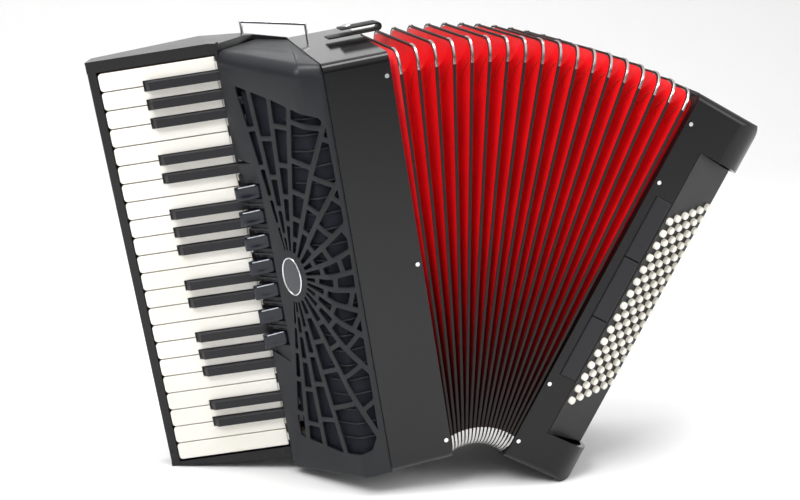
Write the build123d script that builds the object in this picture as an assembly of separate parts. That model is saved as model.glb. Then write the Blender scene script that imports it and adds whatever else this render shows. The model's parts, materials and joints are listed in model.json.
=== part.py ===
from build123d import *
import os
from math import atan2, cos, degrees, hypot, radians, sin, tan

# Piano accordion with 37 keys and 96 bass buttons, standing on its two lower corners with the bellows fanned.
# The treble side is modelled in its own frame: X runs across the body towards the bellows, Y from the front
# to the player's side, Z along the keyboard. The bass side has a frame of its own with the same directions.
# Both are placed in the shared frame at the end. All sizes are in millimetres.

# ---- driving dimensions -------------------------------------------------------------------------------
BODY_DEPTH = 185.0          # front face to player's side
BODY_HEIGHT = 424.0         # at the front face
TOP_RISE = 8.0              # how much higher the top is at the player's side
TREBLE_CASE_WIDTH = 65.0
BASS_CASE_WIDTH = 92.0
CASE_WALL = 5.0
CASE_EDGE_RADIUS = 9.0      # rounded front edges at top and bottom

WHITE_KEYS = 22
KEYBOARD_MARGIN = 6.0       # how much shorter the white keys' row is than the body
WHITE_PITCH = (BODY_HEIGHT - KEYBOARD_MARGIN) / WHITE_KEYS
KEY_GAP = 1.0
BLACK_AFTER = (0, 1, 2, 4, 5)   # places in a run of seven white keys, from F, that a black key follows
BLACK_WIDTH = 0.505 * WHITE_PITCH
BLACK_SIDE_GAP = 0.8
KEY_VISIBLE = 120.8
BLACK_VISIBLE = 77.0
KEY_HIDDEN = 28.0
KEY_THICKNESS = 14.0
BLACK_RISE = 6.0
KEY_YAW = 15.7              # degrees; the keys' free ends lie further back than their inner ends
LEVER_SPACE = 87.0          # from the treble case to the white keys' inner ends
# Where the white key tops meet the grille's edge, in X and Y.
KEY_LINE = (-TREBLE_CASE_WIDTH - LEVER_SPACE, 85.0)
KEYBOARD_BASE = 22.5        # lowest key's lower edge
HUB_WIDTH = 0.41 * WHITE_PITCH
HUB_RADIUS = 5.5
AXLE_RADIUS = 1.5
RUNNING_CLEARANCE = 0.05
AXLE_BEHIND_EDGE = 22.0
AXLE_DEPTH = 9.0
WHITE_END_RADIUS = 3.5
WHITE_EDGE_RADIUS = 0.9
BLACK_EDGE_RADIUS = 1.2
BLACK_END_SLOPE = 6.0       # how far the black keys' outer ends lean back
BLACK_INNER_END = 8.0       # how far the black keys' raised part runs in under the grille's lip

PALLET_WIDTH = 0.368 * WHITE_PITCH
PALLET_THICKNESS = 7.0
PALLET_FRONT = 16.0
PALLET_BACK = 72.0
PALLET_LOW = 26.0           # the pallets are closer together than the keys
PALLET_HIGH = BODY_HEIGHT - 16.0
PALLET_GAP = 0.3
ARM_RADIUS = 2.2
SLOT_WIDTH = 0.21 * WHITE_PITCH
SLOT_INSET = 6.0

BED_RIM = 9.0
BED_RIM_GAP = 1.7
BED_PLATE = 6.0
BED_DEPTH = 26.0
BED_FOOT = 15.5
BED_HEAD = 11.5
BED_BASE = 4.0
BED_CORNER_LIFT = 12.0
BED_FRONT = -3.0            # front of the bed's rim, below the white keys' tops
BED_EDGE_RADIUS = 1.5
BED_HEAD_END = 35.0         # from the treble case to the inner end of the bed's head
BED_ARCH_END = 47.0         # from the treble case to where the bed's top starts to drop
BED_ARCH_HEIGHT = 23.0      # height of that place over the body
BED_FOOT_OVERLAP = 8.0
CHEEK_THICKNESS = 2.0
CHEEK_INNER = 41.0          # from the treble case to the cheek's two ends on the board
CHEEK_OUTER = 63.0
JOINED = 2.5                # how far a part reaches into the board that carries it

GRILLE_WALL = 2.0
GRILLE_FRONT = 27.0         # width of the part that faces forward
GRILLE_CORNER = 12.0
GRILLE_SETBACK = 1.2
GRILLE_LIP = 8.0            # lip height over the white keys
GRILLE_TOP_SLOPE = 0.23
GRILLE_BACK = (-TREBLE_CASE_WIDTH - 33.5, BODY_DEPTH - 13.0)
GRILLE_END = 12.0           # how far the open side starts behind the lip
SEAM = 0.3

REGISTERS = 7
REGISTER_PITCH = 0.06132 * BODY_HEIGHT
REGISTER_WIDTH = 14.5
REGISTER_THICKNESS = 8.0
REGISTER_BASE = 0.3467 * BODY_HEIGHT
REGISTER_Y = 66.0
REGISTER_AXLE_X = KEY_LINE[0] + 20.0
REGISTER_TIP_X = KEY_LINE[0] - 10.0
REGISTER_TIP_RADIUS = 2.5
LUG_INSET = 7.5
LUG_THICKNESS = 4.0
LUG_DISTANCE = 5.0          # from the outermost tabs' sides to the middle of each lug

FOLDS = 17
BELLOWS_CLOSED = 58.0       # gap between the two cases with the bellows shut
FAN_ANGLE = 38.0            # degrees between the two cases as they stand
PIVOT = (36.3, 0.6)         # X and Z of the line that the bellows fan about
BELLOWS_WALL = 6.0
BELLOWS_CORNER = 18.0
BELLOWS_INSET = 1.0
FRAME_THICKNESS = 10.0
FRAME_BAR = 12.0
FRAME_CLEARANCE = 0.4

REED_BLOCK_THICKNESS = 16.0
REED_PLATE_THICKNESS = 2.0
REED_PLATE_MARGIN = 4.0
REED_PLATES = 16
REED_END_SPACE = 10.0
TREBLE_REED_ROWS = 3
TREBLE_REED_SPAN = (-TREBLE_CASE_WIDTH + 11.0, -14.0, 30.0, BODY_HEIGHT - 24.0)
BASS_REED_ROWS = 2
BASS_REED_SPAN = (14.0, BASS_CASE_WIDTH - 42.0, 50.0, BODY_HEIGHT - 64.0)

CLOSING_STRAP_WIDTH = 24.0
CLOSING_STRAP_THICKNESS = 2.2
CLOSING_STRAP_REACH = 16.0
CLOSING_STRAP_BEND = 6.0
CLOSING_STRAP_TAIL = -36.0
CLOSING_STRAP_LIFT = 9.0
CLOSING_STRAP_MIDDLE = 112.0
CLOSING_STRAP_GAP = 0.4

BOARD_START = 31.0
BOARD_RUN = BASS_CASE_WIDTH - BOARD_START - 2.6
BOARD_FALL = 38.6
BOARD_THICKNESS = 4.0
BOARD_LOW = 42.0
BOARD_HIGH = BODY_HEIGHT - 52.0
BOARD_SEAM = 0.2
BASS_CORNER = 38.0
BASS_FOOT_RADIUS = 22.0     # outer corner at the lower end
BASS_TOP_RADIUS = 38.0      # outer corner at the upper end
BUTTON_ROWS = 6
BUTTON_COLUMN = 16
BUTTON_RADIUS = 4.2
BUTTON_EDGE = 8.0
BUTTON_PITCH = 0.03325 * BODY_HEIGHT
BUTTON_ROW_PITCH = (hypot(BOARD_RUN, BOARD_FALL) - BUTTON_EDGE - 5.5) / (BUTTON_ROWS - 1)
BUTTON_STAGGER = 6.4
BUTTON_FIRST = 83.8
BUTTON_EDGE_RADIUS = 1.2
BUTTON_PROUD = 4.5
BUTTON_INSIDE = 9.0

BASS_REGISTERS = 3
MOVING_GAP = 0.4
BASS_REGISTER_START = FRAME_THICKNESS + MOVING_GAP   # the bars pass the bellows frame when pressed
BASS_REGISTER_WIDTH = 18.0
BASS_REGISTER_LOW = 104.0
BASS_REGISTER_HIGH = BODY_HEIGHT - 112.0
BASS_REGISTER_PROUD = 1.5
BASS_REGISTER_THICKNESS = 6.0
BASS_REGISTER_EDGE = 1.0

COVER_THICKNESS = 4.0
COVER_FRONT = 46.0
COVER_LOW = BASS_FOOT_RADIUS + 1.0      # the cover keeps to the flat part of the outer face
COVER_HIGH = BODY_HEIGHT + TOP_RISE - BASS_TOP_RADIUS - 1.0
COVER_SEAM = 0.2
STRAP_FRONT = 95.0
STRAP_WIDTH = 55.0
STRAP_BOW = 24.0
STRAP_THICKNESS = 3.0
STRAP_LOW = 34.0
STRAP_HIGH = BODY_HEIGHT - 32.0
STRAP_FOOT = 24.0           # length of the strap's flat ends

WHEEL_RADIUS = 12.0
WHEEL_THICKNESS = 6.0
WHEEL_PLACE = (BASS_CASE_WIDTH - 54.0, 124.0)
WHEEL_PROUD = 1.5
WHEEL_GROOVES = 24
WHEEL_GROOVE_RADIUS = 0.8
WHEEL_SHAFT_RADIUS = 3.0
WHEEL_SHAFT_LENGTH = 14.0
AIR_BUTTON_RADIUS = 7.0
AIR_BUTTON_PLACE = (62.0, BODY_HEIGHT - 79.0)
AIR_BUTTON_PROUD = 5.0
AIR_BUTTON_INSIDE = 8.0
FOOT_RADIUS = 8.0
FOOT_HEIGHT = 5.0
FOOT_INSET = 12.0

WIRE = 1.6                  # radius of the strap bails' wire
BAIL_RISE = 22.0
BAIL_LEFT = 47.0            # from the treble case's soundboard to the top bail's outer leg
BAIL_RIGHT = 20.0           # from the soundboard to its inner leg
LOW_BAIL_LEFT = 13.0        # from the soundboard to the bottom bail's outer leg
LOW_BAIL_RIGHT = -18.0      # its inner leg, clear of the bellows frame
LOW_BAIL_DROP = 10.0
LOW_BAIL_INSIDE = 8.0
PIN_RADIUS = 2.2
PIN_SHANK = 1.1
PIN_HEAD = 1.2
TREBLE_PIN_HEIGHTS = (22, BODY_HEIGHT / 2, BODY_HEIGHT - 22)
BASS_PIN_HEIGHTS = (22, 90, BODY_HEIGHT - 99, BODY_HEIGHT - 32)
FLOOR_TOLERANCE = 0.001


# ---- small shape helpers ------------------------------------------------------------------------------
def block(x0, x1, y0, y1, z0, z1):
    """Box between two opposite corners."""
    return Pos((x0 + x1) / 2, (y0 + y1) / 2, (z0 + z1) / 2) * Box(x1 - x0, y1 - y0, z1 - z0)


def prism_z(points, z0, z1):
    """Polygon in X and Y, carried from z0 to z1."""
    outline = Polyline(*[(x, y, z0) for x, y in points], close=True)
    return extrude(make_face(outline), z1 - z0, dir=(0, 0, 1))


def prism_y(points, y0, y1):
    """Polygon in X and Z, carried from y0 to y1."""
    outline = Polyline(*[(x, y0, z) for x, z in points], close=True)
    return extrude(make_face(outline), y1 - y0, dir=(0, 1, 0))


def prism_x(points, x0, x1):
    """Polygon in Y and Z, carried from x0 to x1."""
    outline = Polyline(*[(x0, y, z) for y, z in points], close=True)
    return extrude(make_face(outline), x1 - x0, dir=(1, 0, 0))


def rod(start, end, radius):
    """Round bar between two points."""
    a, b = Vector(*start), Vector(*end)
    standing = (Align.CENTER, Align.CENTER, Align.MIN)
    return Location(Plane(a, z_dir=b - a)) * Cylinder(radius, (b - a).length, align=standing)


def rounded(shape, axis, picked, radius):
    """Fillets the edges along an axis whose centre passes a test."""
    edges = [e for e in shape.edges().filter_by(axis) if picked(e.center())]
    return fillet(edges, radius)


def top_at(y):
    """Height of both cases' top at a distance from the front."""
    return BODY_HEIGHT + TOP_RISE * y / BODY_DEPTH


def turn(x, z, angle):
    """Turns a point in X and Z about the origin, positive about +Y."""
    a = radians(angle)
    return x * cos(a) + z * sin(a), z * cos(a) - x * sin(a)


# ---- key frame: X out along the keys, Y out of their tops, Z along the keyboard --------------------------
KEY_AXES = Plane(
    origin=(KEY_LINE[0], KEY_LINE[1], 0),
    x_dir=(-cos(radians(KEY_YAW)), sin(radians(KEY_YAW)), 0),
    z_dir=(0, 0, 1),
)


def key_point(u, v):
    """Point in the treble frame from a distance along the key and a height over its top."""
    point = KEY_AXES.from_local_coords(Vector(u, v, 0))
    return point.X, point.Y


AXLE_X, AXLE_Y = key_point(-AXLE_BEHIND_EDGE, -AXLE_DEPTH)


def white_centre(index):
    """Height of a white key's middle; the first key is the deepest note, at the top."""
    return KEYBOARD_BASE + (WHITE_KEYS - 0.5 - index) * WHITE_PITCH


def has_black_after(index):
    """Whether a black key follows this white key."""
    return index < WHITE_KEYS - 1 and index % 7 in BLACK_AFTER


def pallet_centre(centre):
    """Height of the pallet that belongs to a key at this height."""
    low, high = white_centre(WHITE_KEYS - 1), white_centre(0)
    return PALLET_LOW + (PALLET_HIGH - PALLET_LOW) * (centre - low) / (high - low)


def lever(centre):
    """Hub, arm and pallet that a key carries under the grille."""
    half = PALLET_WIDTH / 2
    height = pallet_centre(centre)
    pallet_x = -TREBLE_CASE_WIDTH - PALLET_GAP
    arm_x = pallet_x - PALLET_THICKNESS
    arm_end = (arm_x + ARM_RADIUS, (PALLET_FRONT + PALLET_BACK) / 2, height)
    arm = rod((AXLE_X + 1, AXLE_Y - HUB_RADIUS / 2 - ARM_RADIUS, centre), arm_end, ARM_RADIUS)
    pallet = block(arm_x, pallet_x, PALLET_FRONT, PALLET_BACK, height - half, height + half)
    hub = Pos(AXLE_X, AXLE_Y, centre) * Cylinder(HUB_RADIUS, HUB_WIDTH)
    return arm + pallet + hub


def axle_bore(centre):
    """Running hole for the keys' common rod."""
    return Pos(AXLE_X, AXLE_Y, centre) * Cylinder(AXLE_RADIUS + RUNNING_CLEARANCE, 3 * WHITE_PITCH)


def white_key(index):
    """White key with its shank, hub, arm and pallet; notched where black keys lie beside it."""
    centre = white_centre(index)
    half = (WHITE_PITCH - KEY_GAP) / 2
    notch = WHITE_PITCH / 2 - BLACK_WIDTH / 2 - BLACK_SIDE_GAP
    slab = block(3, KEY_VISIBLE, -KEY_THICKNESS, 0, centre - half, centre + half)
    slab = rounded(slab, Axis.Y, lambda c: c.X > KEY_VISIBLE / 2, WHITE_END_RADIUS)
    slab = fillet(slab.faces().sort_by(Axis.Y)[-1].edges(), WHITE_EDGE_RADIUS)
    tail_end = BLACK_VISIBLE + BLACK_SIDE_GAP
    if has_black_after(index):
        slab -= block(-1, tail_end, -2 * KEY_THICKNESS, 1, centre - WHITE_PITCH, centre - notch)
    if index > 0 and has_black_after(index - 1):
        slab -= block(-1, tail_end, -2 * KEY_THICKNESS, 1, centre + notch, centre + WHITE_PITCH)
    shank = block(-KEY_HIDDEN, 4, -KEY_THICKNESS, -1, centre - HUB_WIDTH / 2, centre + HUB_WIDTH / 2)
    top = Location(KEY_AXES) * (slab + shank)
    return top + lever(centre) - axle_bore(centre)


def black_key(index):
    """Black key that follows a white one, with its shank, hub, arm and pallet."""
    centre = white_centre(index) - WHITE_PITCH / 2
    profile = [
        (-KEY_HIDDEN, -KEY_THICKNESS + 2),
        (-KEY_HIDDEN, -1),
        (-BLACK_INNER_END, -1),
        (-BLACK_INNER_END, BLACK_RISE),
        (BLACK_VISIBLE - BLACK_END_SLOPE, BLACK_RISE),
        (BLACK_VISIBLE, -1),
        (BLACK_VISIBLE, -KEY_THICKNESS + 2),
    ]
    body = prism_z(profile, centre - BLACK_WIDTH / 2, centre + BLACK_WIDTH / 2)
    body = rounded(body, Axis.X, lambda c: c.Y > BLACK_RISE - 0.1, BLACK_EDGE_RADIUS)
    shank_side = HUB_WIDTH / 2
    for side in (-1, 1):
        near, far = sorted((centre + side * shank_side, centre + side * WHITE_PITCH))
        body -= block(-2 * KEY_HIDDEN, -BLACK_INNER_END, -2 * KEY_THICKNESS, 2 * BLACK_RISE, near, far)
    return Location(KEY_AXES) * body + lever(centre) - axle_bore(centre)


# ---- treble side ----------------------------------------------------------------------------------------
def case_side(inset):
    """Side outline of both cases, in Y and Z, inset from the outside all round."""
    return [
        (inset, inset),
        (BODY_DEPTH - inset, inset),
        (BODY_DEPTH - inset, top_at(BODY_DEPTH) - inset),
        (inset, top_at(0) - inset),
    ]


def case_body(x0, x1, inset=0.0):
    """Case volume with its front edges rounded."""
    body = prism_x(case_side(inset), x0, x1)
    radius = CASE_EDGE_RADIUS - inset
    return rounded(body, Axis.X, lambda c: c.Y < inset + 1, max(radius, 1.0))


def pin_holes(x, heights):
    """Holes for the bellows pins, all through the front wall."""
    return [rod((x, -1, z), (x, CASE_WALL + 1, z), PIN_SHANK) for z in heights]


def treble_case():
    """Box that holds the reeds; its left wall is the soundboard with one slot for each pallet."""
    shell = case_body(-TREBLE_CASE_WIDTH, 0) - case_body(-TREBLE_CASE_WIDTH + CASE_WALL + 1, 1, CASE_WALL)
    centres = []
    for index in range(WHITE_KEYS):
        centres.append(white_centre(index))
        if has_black_after(index):
            centres.append(white_centre(index) - WHITE_PITCH / 2)
    left = -TREBLE_CASE_WIDTH
    front, back = PALLET_FRONT + SLOT_INSET, PALLET_BACK - SLOT_INSET
    for centre in centres:
        height = pallet_centre(centre)
        low, high = height - SLOT_WIDTH / 2, height + SLOT_WIDTH / 2
        shell -= block(left - 1, left + CASE_WALL + 2, front, back, low, high)
    return shell - pin_holes(-FRAME_THICKNESS / 2, TREBLE_PIN_HEIGHTS)


def bellows_frame(x0, x1):
    """Wooden frame that closes a case's open side and carries one end of the bellows."""
    gap = CASE_WALL + FRAME_CLEARANCE
    outer = case_body(x0, x1, gap)
    inner = prism_x(case_side(gap + FRAME_BAR), x0 - 1, x1 + 1)
    return outer - inner


BED_RIM_END = KEY_VISIBLE + BED_RIM_GAP + BED_RIM
BED_TOP = KEYBOARD_BASE + WHITE_KEYS * WHITE_PITCH + BED_HEAD + KEY_GAP


def board_front(x):
    """Distance from the front of the bed's back board at a place across the body."""
    outer_x, outer_y = key_point(BED_RIM_END, -BED_DEPTH)
    share = (x - outer_x) / (-TREBLE_CASE_WIDTH - outer_x)
    return outer_y + (BODY_DEPTH - BED_PLATE - outer_y) * share


def bed_cheek():
    """Plate beside the deepest key that carries the upper end of the keys' rod."""
    low = white_centre(0) + HUB_WIDTH / 2 + 0.4
    inner_x, outer_x = -TREBLE_CASE_WIDTH - CHEEK_INNER, -TREBLE_CASE_WIDTH - CHEEK_OUTER
    outline = [
        (AXLE_X - HUB_RADIUS, AXLE_Y - HUB_RADIUS),
        (AXLE_X + HUB_RADIUS, AXLE_Y - HUB_RADIUS),
        (AXLE_X + 2 * HUB_RADIUS, AXLE_Y + 4 * HUB_RADIUS),
        (inner_x, board_front(inner_x) + JOINED),
        (outer_x, board_front(outer_x) + JOINED),
    ]
    return prism_z(outline, low, low + CHEEK_THICKNESS)


def keyboard_bed():
    """Back board, outer rim and end plates that carry the keys."""
    outer_back = key_point(BED_RIM_END, -BED_DEPTH - BED_PLATE)
    outer_front = key_point(BED_RIM_END, BED_FRONT)
    wall = -TREBLE_CASE_WIDTH
    inner_rim = BED_RIM_END - BED_RIM
    board = prism_z(
        [key_point(BED_RIM_END, -BED_DEPTH), (wall, BODY_DEPTH - BED_PLATE), (wall, BODY_DEPTH), outer_back],
        BED_BASE,
        BED_TOP,
    )
    rim = prism_z(
        [key_point(inner_rim, BED_FRONT), outer_front, outer_back, key_point(inner_rim, -BED_DEPTH - 2)],
        BED_BASE,
        BED_TOP,
    )
    rim = rounded(rim, Axis.Z, lambda c: (c - Vector(*outer_front, c.Z)).length < 1, BED_EDGE_RADIUS)
    foot_x = wall - BED_FOOT_OVERLAP
    foot = prism_z(
        [
            outer_front,
            key_point(-KEY_HIDDEN - HUB_RADIUS, BED_FRONT),
            (foot_x, AXLE_Y + 2 * HUB_RADIUS),
            (foot_x, BODY_DEPTH - BED_PLATE / 2),
            outer_back,
        ],
        BED_BASE,
        BED_BASE + BED_FOOT,
    )
    head_x = wall - BED_HEAD_END
    head = prism_z(
        [outer_front, key_point(-3, BED_FRONT), (head_x, board_front(head_x) + JOINED), outer_back],
        BED_TOP - BED_HEAD,
        BED_TOP,
    )
    bed = board + rim + foot + head + bed_cheek()
    arch_start = KEY_LINE[0] - 6
    arch = [
        (arch_start, BED_TOP),
        (wall - BED_ARCH_END, BODY_HEIGHT + BED_ARCH_HEIGHT),
        (wall, top_at(BODY_DEPTH) + 1),
        (wall + 5, BED_TOP + 30),
        (arch_start, BED_TOP + 30),
    ]
    bed -= prism_y(arch, AXLE_Y, BODY_DEPTH + 1)
    corner_x, slope_end = outer_front[0] - 5, KEY_LINE[0] + 17
    lift = BED_BASE + BED_CORNER_LIFT
    slope = [(corner_x, BED_BASE - 1), (corner_x, lift), (slope_end, BED_BASE), (slope_end, BED_BASE - 1)]
    bed -= prism_y(slope, 0, BODY_DEPTH + 1)
    bed -= Pos(AXLE_X, AXLE_Y, BODY_HEIGHT / 2) * Cylinder(AXLE_RADIUS + 0.02, 2 * BODY_HEIGHT)
    return bed


def grille_outline(inset):
    """Plan of the grille cover, in X and Y; the inset one runs out through the open sides."""
    through = 3.0 if inset else 0.0
    right = -TREBLE_CASE_WIDTH - SEAM
    lip_x, lip_y = key_point(0, GRILLE_LIP)
    corner_x = right - GRILLE_FRONT
    slant = atan2(lip_y - GRILLE_SETBACK, corner_x - lip_x)
    inward_x, inward_y = sin(slant), cos(slant)
    back_x, back_y = GRILLE_BACK
    return [
        (right + through, GRILLE_SETBACK + inset),
        (corner_x + inset * (1 / sin(slant) - 1 / tan(slant)), GRILLE_SETBACK + inset),
        (lip_x + inset * inward_x, lip_y + inset * inward_y),
        (lip_x + GRILLE_END * inward_x - through, lip_y + GRILLE_END * inward_y + through),
        (back_x - through, back_y + through),
        (right + through, back_y + 6 + through),
    ]


def grille_cap(inset):
    """Space above the grille's sloping top, to be cut away."""
    right = -TREBLE_CASE_WIDTH + 1
    left = KEY_LINE[0] - 18
    rise = GRILLE_TOP_SLOPE * (right - left)
    low = BODY_HEIGHT - 1 - inset
    outline = [(right, low), (left, low + rise), (left, low + rise + 90), (right, low + 90)]
    wedge = prism_y(outline, -10, 2 * BODY_DEPTH)
    tilt = degrees(atan2(TOP_RISE, BODY_DEPTH))
    return Pos(0, 0, low) * Rot(tilt, 0, 0) * Pos(0, 0, -low) * wedge


def grille_volume(inset, z0):
    """Space inside the grille's outline, rounded at its front corner and cut along its sloping top."""
    body = prism_z(grille_outline(inset), z0, BODY_HEIGHT + 60)
    corner_x = grille_outline(inset)[1][0]
    body = rounded(body, Axis.Z, lambda c: abs(c.X - corner_x) < 0.5 and c.Y < 20, GRILLE_CORNER - inset)
    return body - grille_cap(inset)


def register_centres():
    """Heights of the register tabs' middles."""
    return [REGISTER_BASE + REGISTER_PITCH * index for index in range(REGISTERS)]


def grille():
    """Cover over the levers and pallets, open towards the case and the keyboard."""
    cover = grille_volume(0, 0) - grille_volume(GRILLE_WALL, GRILLE_WALL)
    lip_x = key_point(0, GRILLE_LIP)[0]
    half = REGISTER_WIDTH / 2 + 1
    slot_x0, slot_x1 = REGISTER_TIP_X - 13, REGISTER_AXLE_X + 12
    slot_y0, slot_y1 = REGISTER_Y - 3, REGISTER_Y + REGISTER_THICKNESS + 4
    for centre in register_centres():
        cover -= block(slot_x0, slot_x1, slot_y0, slot_y1, centre - half, centre + half)
    outermost = ((register_centres()[0], -1), (register_centres()[-1], 1))
    for centre, side in outermost:
        z = centre + side * (REGISTER_WIDTH / 2 + LUG_DISTANCE)
        low, high = z - LUG_THICKNESS / 2, z + LUG_THICKNESS / 2
        lug = block(lip_x + LUG_INSET, REGISTER_AXLE_X + 5, REGISTER_Y - 1, REGISTER_Y + 9, low, high)
        hole = Pos(REGISTER_AXLE_X, REGISTER_Y + REGISTER_THICKNESS / 2, z) * Cylinder(AXLE_RADIUS + 0.02, 20)
        cover += lug
        cover -= hole
    return cover


def pivot_rods():
    """Rod that all keys turn on, and the shorter rod of the register switches."""
    rod_top = white_centre(0) + HUB_WIDTH / 2 + 3
    key_rod = rod((AXLE_X, AXLE_Y, BED_BASE + 3), (AXLE_X, AXLE_Y, rod_top), AXLE_RADIUS)
    low, high = register_centres()[0], register_centres()[-1]
    reach = REGISTER_WIDTH / 2 + 7
    y = REGISTER_Y + REGISTER_THICKNESS / 2
    register_rod = rod((REGISTER_AXLE_X, y, low - reach), (REGISTER_AXLE_X, y, high + reach), AXLE_RADIUS)
    return [key_rod, register_rod]


def register_switches():
    """Seven rocker tabs over the inner ends of the keys."""
    tabs = []
    y0, y1 = REGISTER_Y, REGISTER_Y + REGISTER_THICKNESS
    middle = (y0 + y1) / 2
    for centre in register_centres():
        half = REGISTER_WIDTH / 2
        tab = block(REGISTER_TIP_X, REGISTER_AXLE_X, y0 + 0.5, y1 - 0.5, centre - half, centre + half)
        tab = rounded(tab, Axis.Z, lambda c: c.X < REGISTER_TIP_X + 1, REGISTER_TIP_RADIUS)
        tab += Pos(REGISTER_AXLE_X, middle, centre) * Cylinder(REGISTER_THICKNESS / 2, REGISTER_WIDTH)
        bore = Cylinder(AXLE_RADIUS + RUNNING_CLEARANCE, 2 * REGISTER_WIDTH)
        tab -= Pos(REGISTER_AXLE_X, middle, centre) * bore
        tabs.append(tab)
    return tabs


def reed_blocks(rows, x0, x1, low, high):
    """Wooden reed blocks across the body, with reed plates along both faces."""
    solids = []
    pitch = (BODY_DEPTH - 2 * CASE_WALL - 2 * REED_END_SPACE) / rows
    half = REED_BLOCK_THICKNESS / 2
    step = (high - low) / REED_PLATES
    for row in range(rows):
        y = CASE_WALL + REED_END_SPACE + pitch * (row + 0.5)
        solids.append(block(x0, x1, y - half, y + half, low, high))
        for index in range(REED_PLATES):
            z = low + step * (index + 0.5)
            for side in (-1, 1):
                near, far = sorted((y + side * half, y + side * (half + REED_PLATE_THICKNESS)))
                plate_x0, plate_x1 = x0 + REED_PLATE_MARGIN, x1 - REED_PLATE_MARGIN
                solids.append(block(plate_x0, plate_x1, near, far, z - step / 2 + 1, z + step / 2 - 1))
    return solids


def strap_brackets():
    """Wire bails for the shoulder straps: one at the top, one at the bottom."""
    wall = -TREBLE_CASE_WIDTH
    left, right = wall - BAIL_LEFT, wall + BAIL_RIGHT
    y = board_front(left) + BED_PLATE / 2
    left_foot, right_foot = BODY_HEIGHT + 13, BODY_HEIGHT - 2
    top = [
        (left, y, left_foot),
        (left, y, left_foot + BAIL_RISE),
        (right, y, right_foot + BAIL_RISE),
        (right, y, right_foot),
    ]
    y_low = BODY_DEPTH - 14
    x0, x1 = wall + LOW_BAIL_LEFT, LOW_BAIL_RIGHT
    low = [
        (x0, y_low, LOW_BAIL_INSIDE),
        (x0, y_low, -LOW_BAIL_DROP),
        (x1, y_low, -LOW_BAIL_DROP),
        (x1, y_low, LOW_BAIL_INSIDE),
    ]
    solids = []
    for path in (top, low):
        wire = rod(path[0], path[1], WIRE)
        for start, end in zip(path[1:], path[2:]):
            wire += rod(start, end, WIRE) + Pos(*start) * Sphere(WIRE)
        solids.append(wire)
    return solids


def pin_row(x, heights):
    """Bellows pins through the front wall."""
    pins = []
    for z in heights:
        shank = rod((x, 0, z), (x, CASE_WALL, z), PIN_SHANK)
        head = rod((x, -PIN_HEAD, z), (x, 0, z), PIN_RADIUS)
        pins.append(head + shank)
    return pins


def bellows_straps():
    """Two leather closing straps, each folded back on itself over the edge of the treble case."""
    straps = []
    thick, reach, tail = CLOSING_STRAP_THICKNESS, CLOSING_STRAP_REACH, CLOSING_STRAP_TAIL
    y0, y1 = CLOSING_STRAP_MIDDLE - CLOSING_STRAP_WIDTH / 2, CLOSING_STRAP_MIDDLE + CLOSING_STRAP_WIDTH / 2
    for sign, base in ((1, top_at(BODY_DEPTH) + CLOSING_STRAP_GAP), (-1, -CLOSING_STRAP_GAP)):
        upper = base + sign * CLOSING_STRAP_LIFT
        middle = (base + upper) / 2
        outer = [
            (tail, base),
            (reach, base),
            (reach + CLOSING_STRAP_BEND, middle),
            (reach, upper),
            (tail + 12, upper),
        ]
        inner = [
            (tail + 12, upper - sign * thick),
            (reach - 1, upper - sign * thick),
            (reach + CLOSING_STRAP_BEND / 2, middle),
            (reach - 1, base + sign * thick),
            (tail, base + sign * thick),
        ]
        straps.append(prism_y(outer + inner, y0, y1))
    return straps


# ---- bellows --------------------------------------------------------------------------------------------
def fan_point(share, z):
    """Point of the bellows' fan in the treble frame: share 0 at the treble case, 1 at the bass case."""
    x, height = turn(BELLOWS_CLOSED * share - PIVOT[0], z - PIVOT[1], FAN_ANGLE * share)
    return PIVOT[0] + x, PIVOT[1] + height


def fan_wedge(start, end, low, high, y0, y1):
    """Wedge of the fan between two shares and two heights, with curved ends."""
    def at(share, z):
        x, height = fan_point(share, z)
        return (x, y0, height)

    middle = (start + end) / 2
    outline = (
        Line(at(start, low), at(start, high))
        + ThreePointArc(at(start, high), at(middle, high), at(end, high))
        + Line(at(end, high), at(end, low))
        + ThreePointArc(at(end, low), at(middle, low), at(start, low))
    )
    return extrude(make_face(outline), y1 - y0, dir=(0, 1, 0))


def bellows():
    """Fanned tube between the two cases."""
    low, high = BELLOWS_INSET, BODY_HEIGHT - BELLOWS_INSET
    y0, y1 = BELLOWS_INSET, BODY_DEPTH - BELLOWS_INSET
    edge = 0.01
    body = fan_wedge(edge, 1 - edge, low, high, y0, y1)
    wall = BELLOWS_WALL
    hollow = fan_wedge(-0.02, 1.02, low + wall, high - wall, y0 + wall, y1 - wall)
    return body - hollow


# ---- bass side ------------------------------------------------------------------------------------------
BOARD_LENGTH = hypot(BOARD_RUN, BOARD_FALL)
BOARD_ANGLE = degrees(atan2(BOARD_FALL, BOARD_RUN))
# Board frame: X along the slope from the front strip to the outer side, Y into the case, Z along the rows.
BOARD_AXES = Location((BOARD_START, 0, 0), (0, 0, BOARD_ANGLE))


def bass_volume(inset):
    """Outside of the bass case: rounded outer front corner, rounded ends and front edges."""
    outer = BASS_CASE_WIDTH - inset
    back = BODY_DEPTH - inset
    plan = prism_z([(0, inset), (outer, inset), (outer, back), (0, back)], 0, BODY_HEIGHT + 20)
    plan = rounded(plan, Axis.Z, lambda c: c.X > outer - 1 and c.Y < inset + 1, BASS_CORNER - inset)
    high = BODY_HEIGHT + TOP_RISE - inset
    front = prism_y([(0, inset), (outer, inset), (outer, high), (0, high)], 0, BODY_DEPTH)
    middle = BODY_HEIGHT / 2
    front = rounded(front, Axis.Y, lambda c: c.X > outer - 1 and c.Z > middle, BASS_TOP_RADIUS - inset)
    front = rounded(front, Axis.Y, lambda c: c.X > outer - 1 and c.Z < middle, BASS_FOOT_RADIUS - inset)
    return plan & front & case_body(-1, BASS_CASE_WIDTH + 1, inset)


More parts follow.
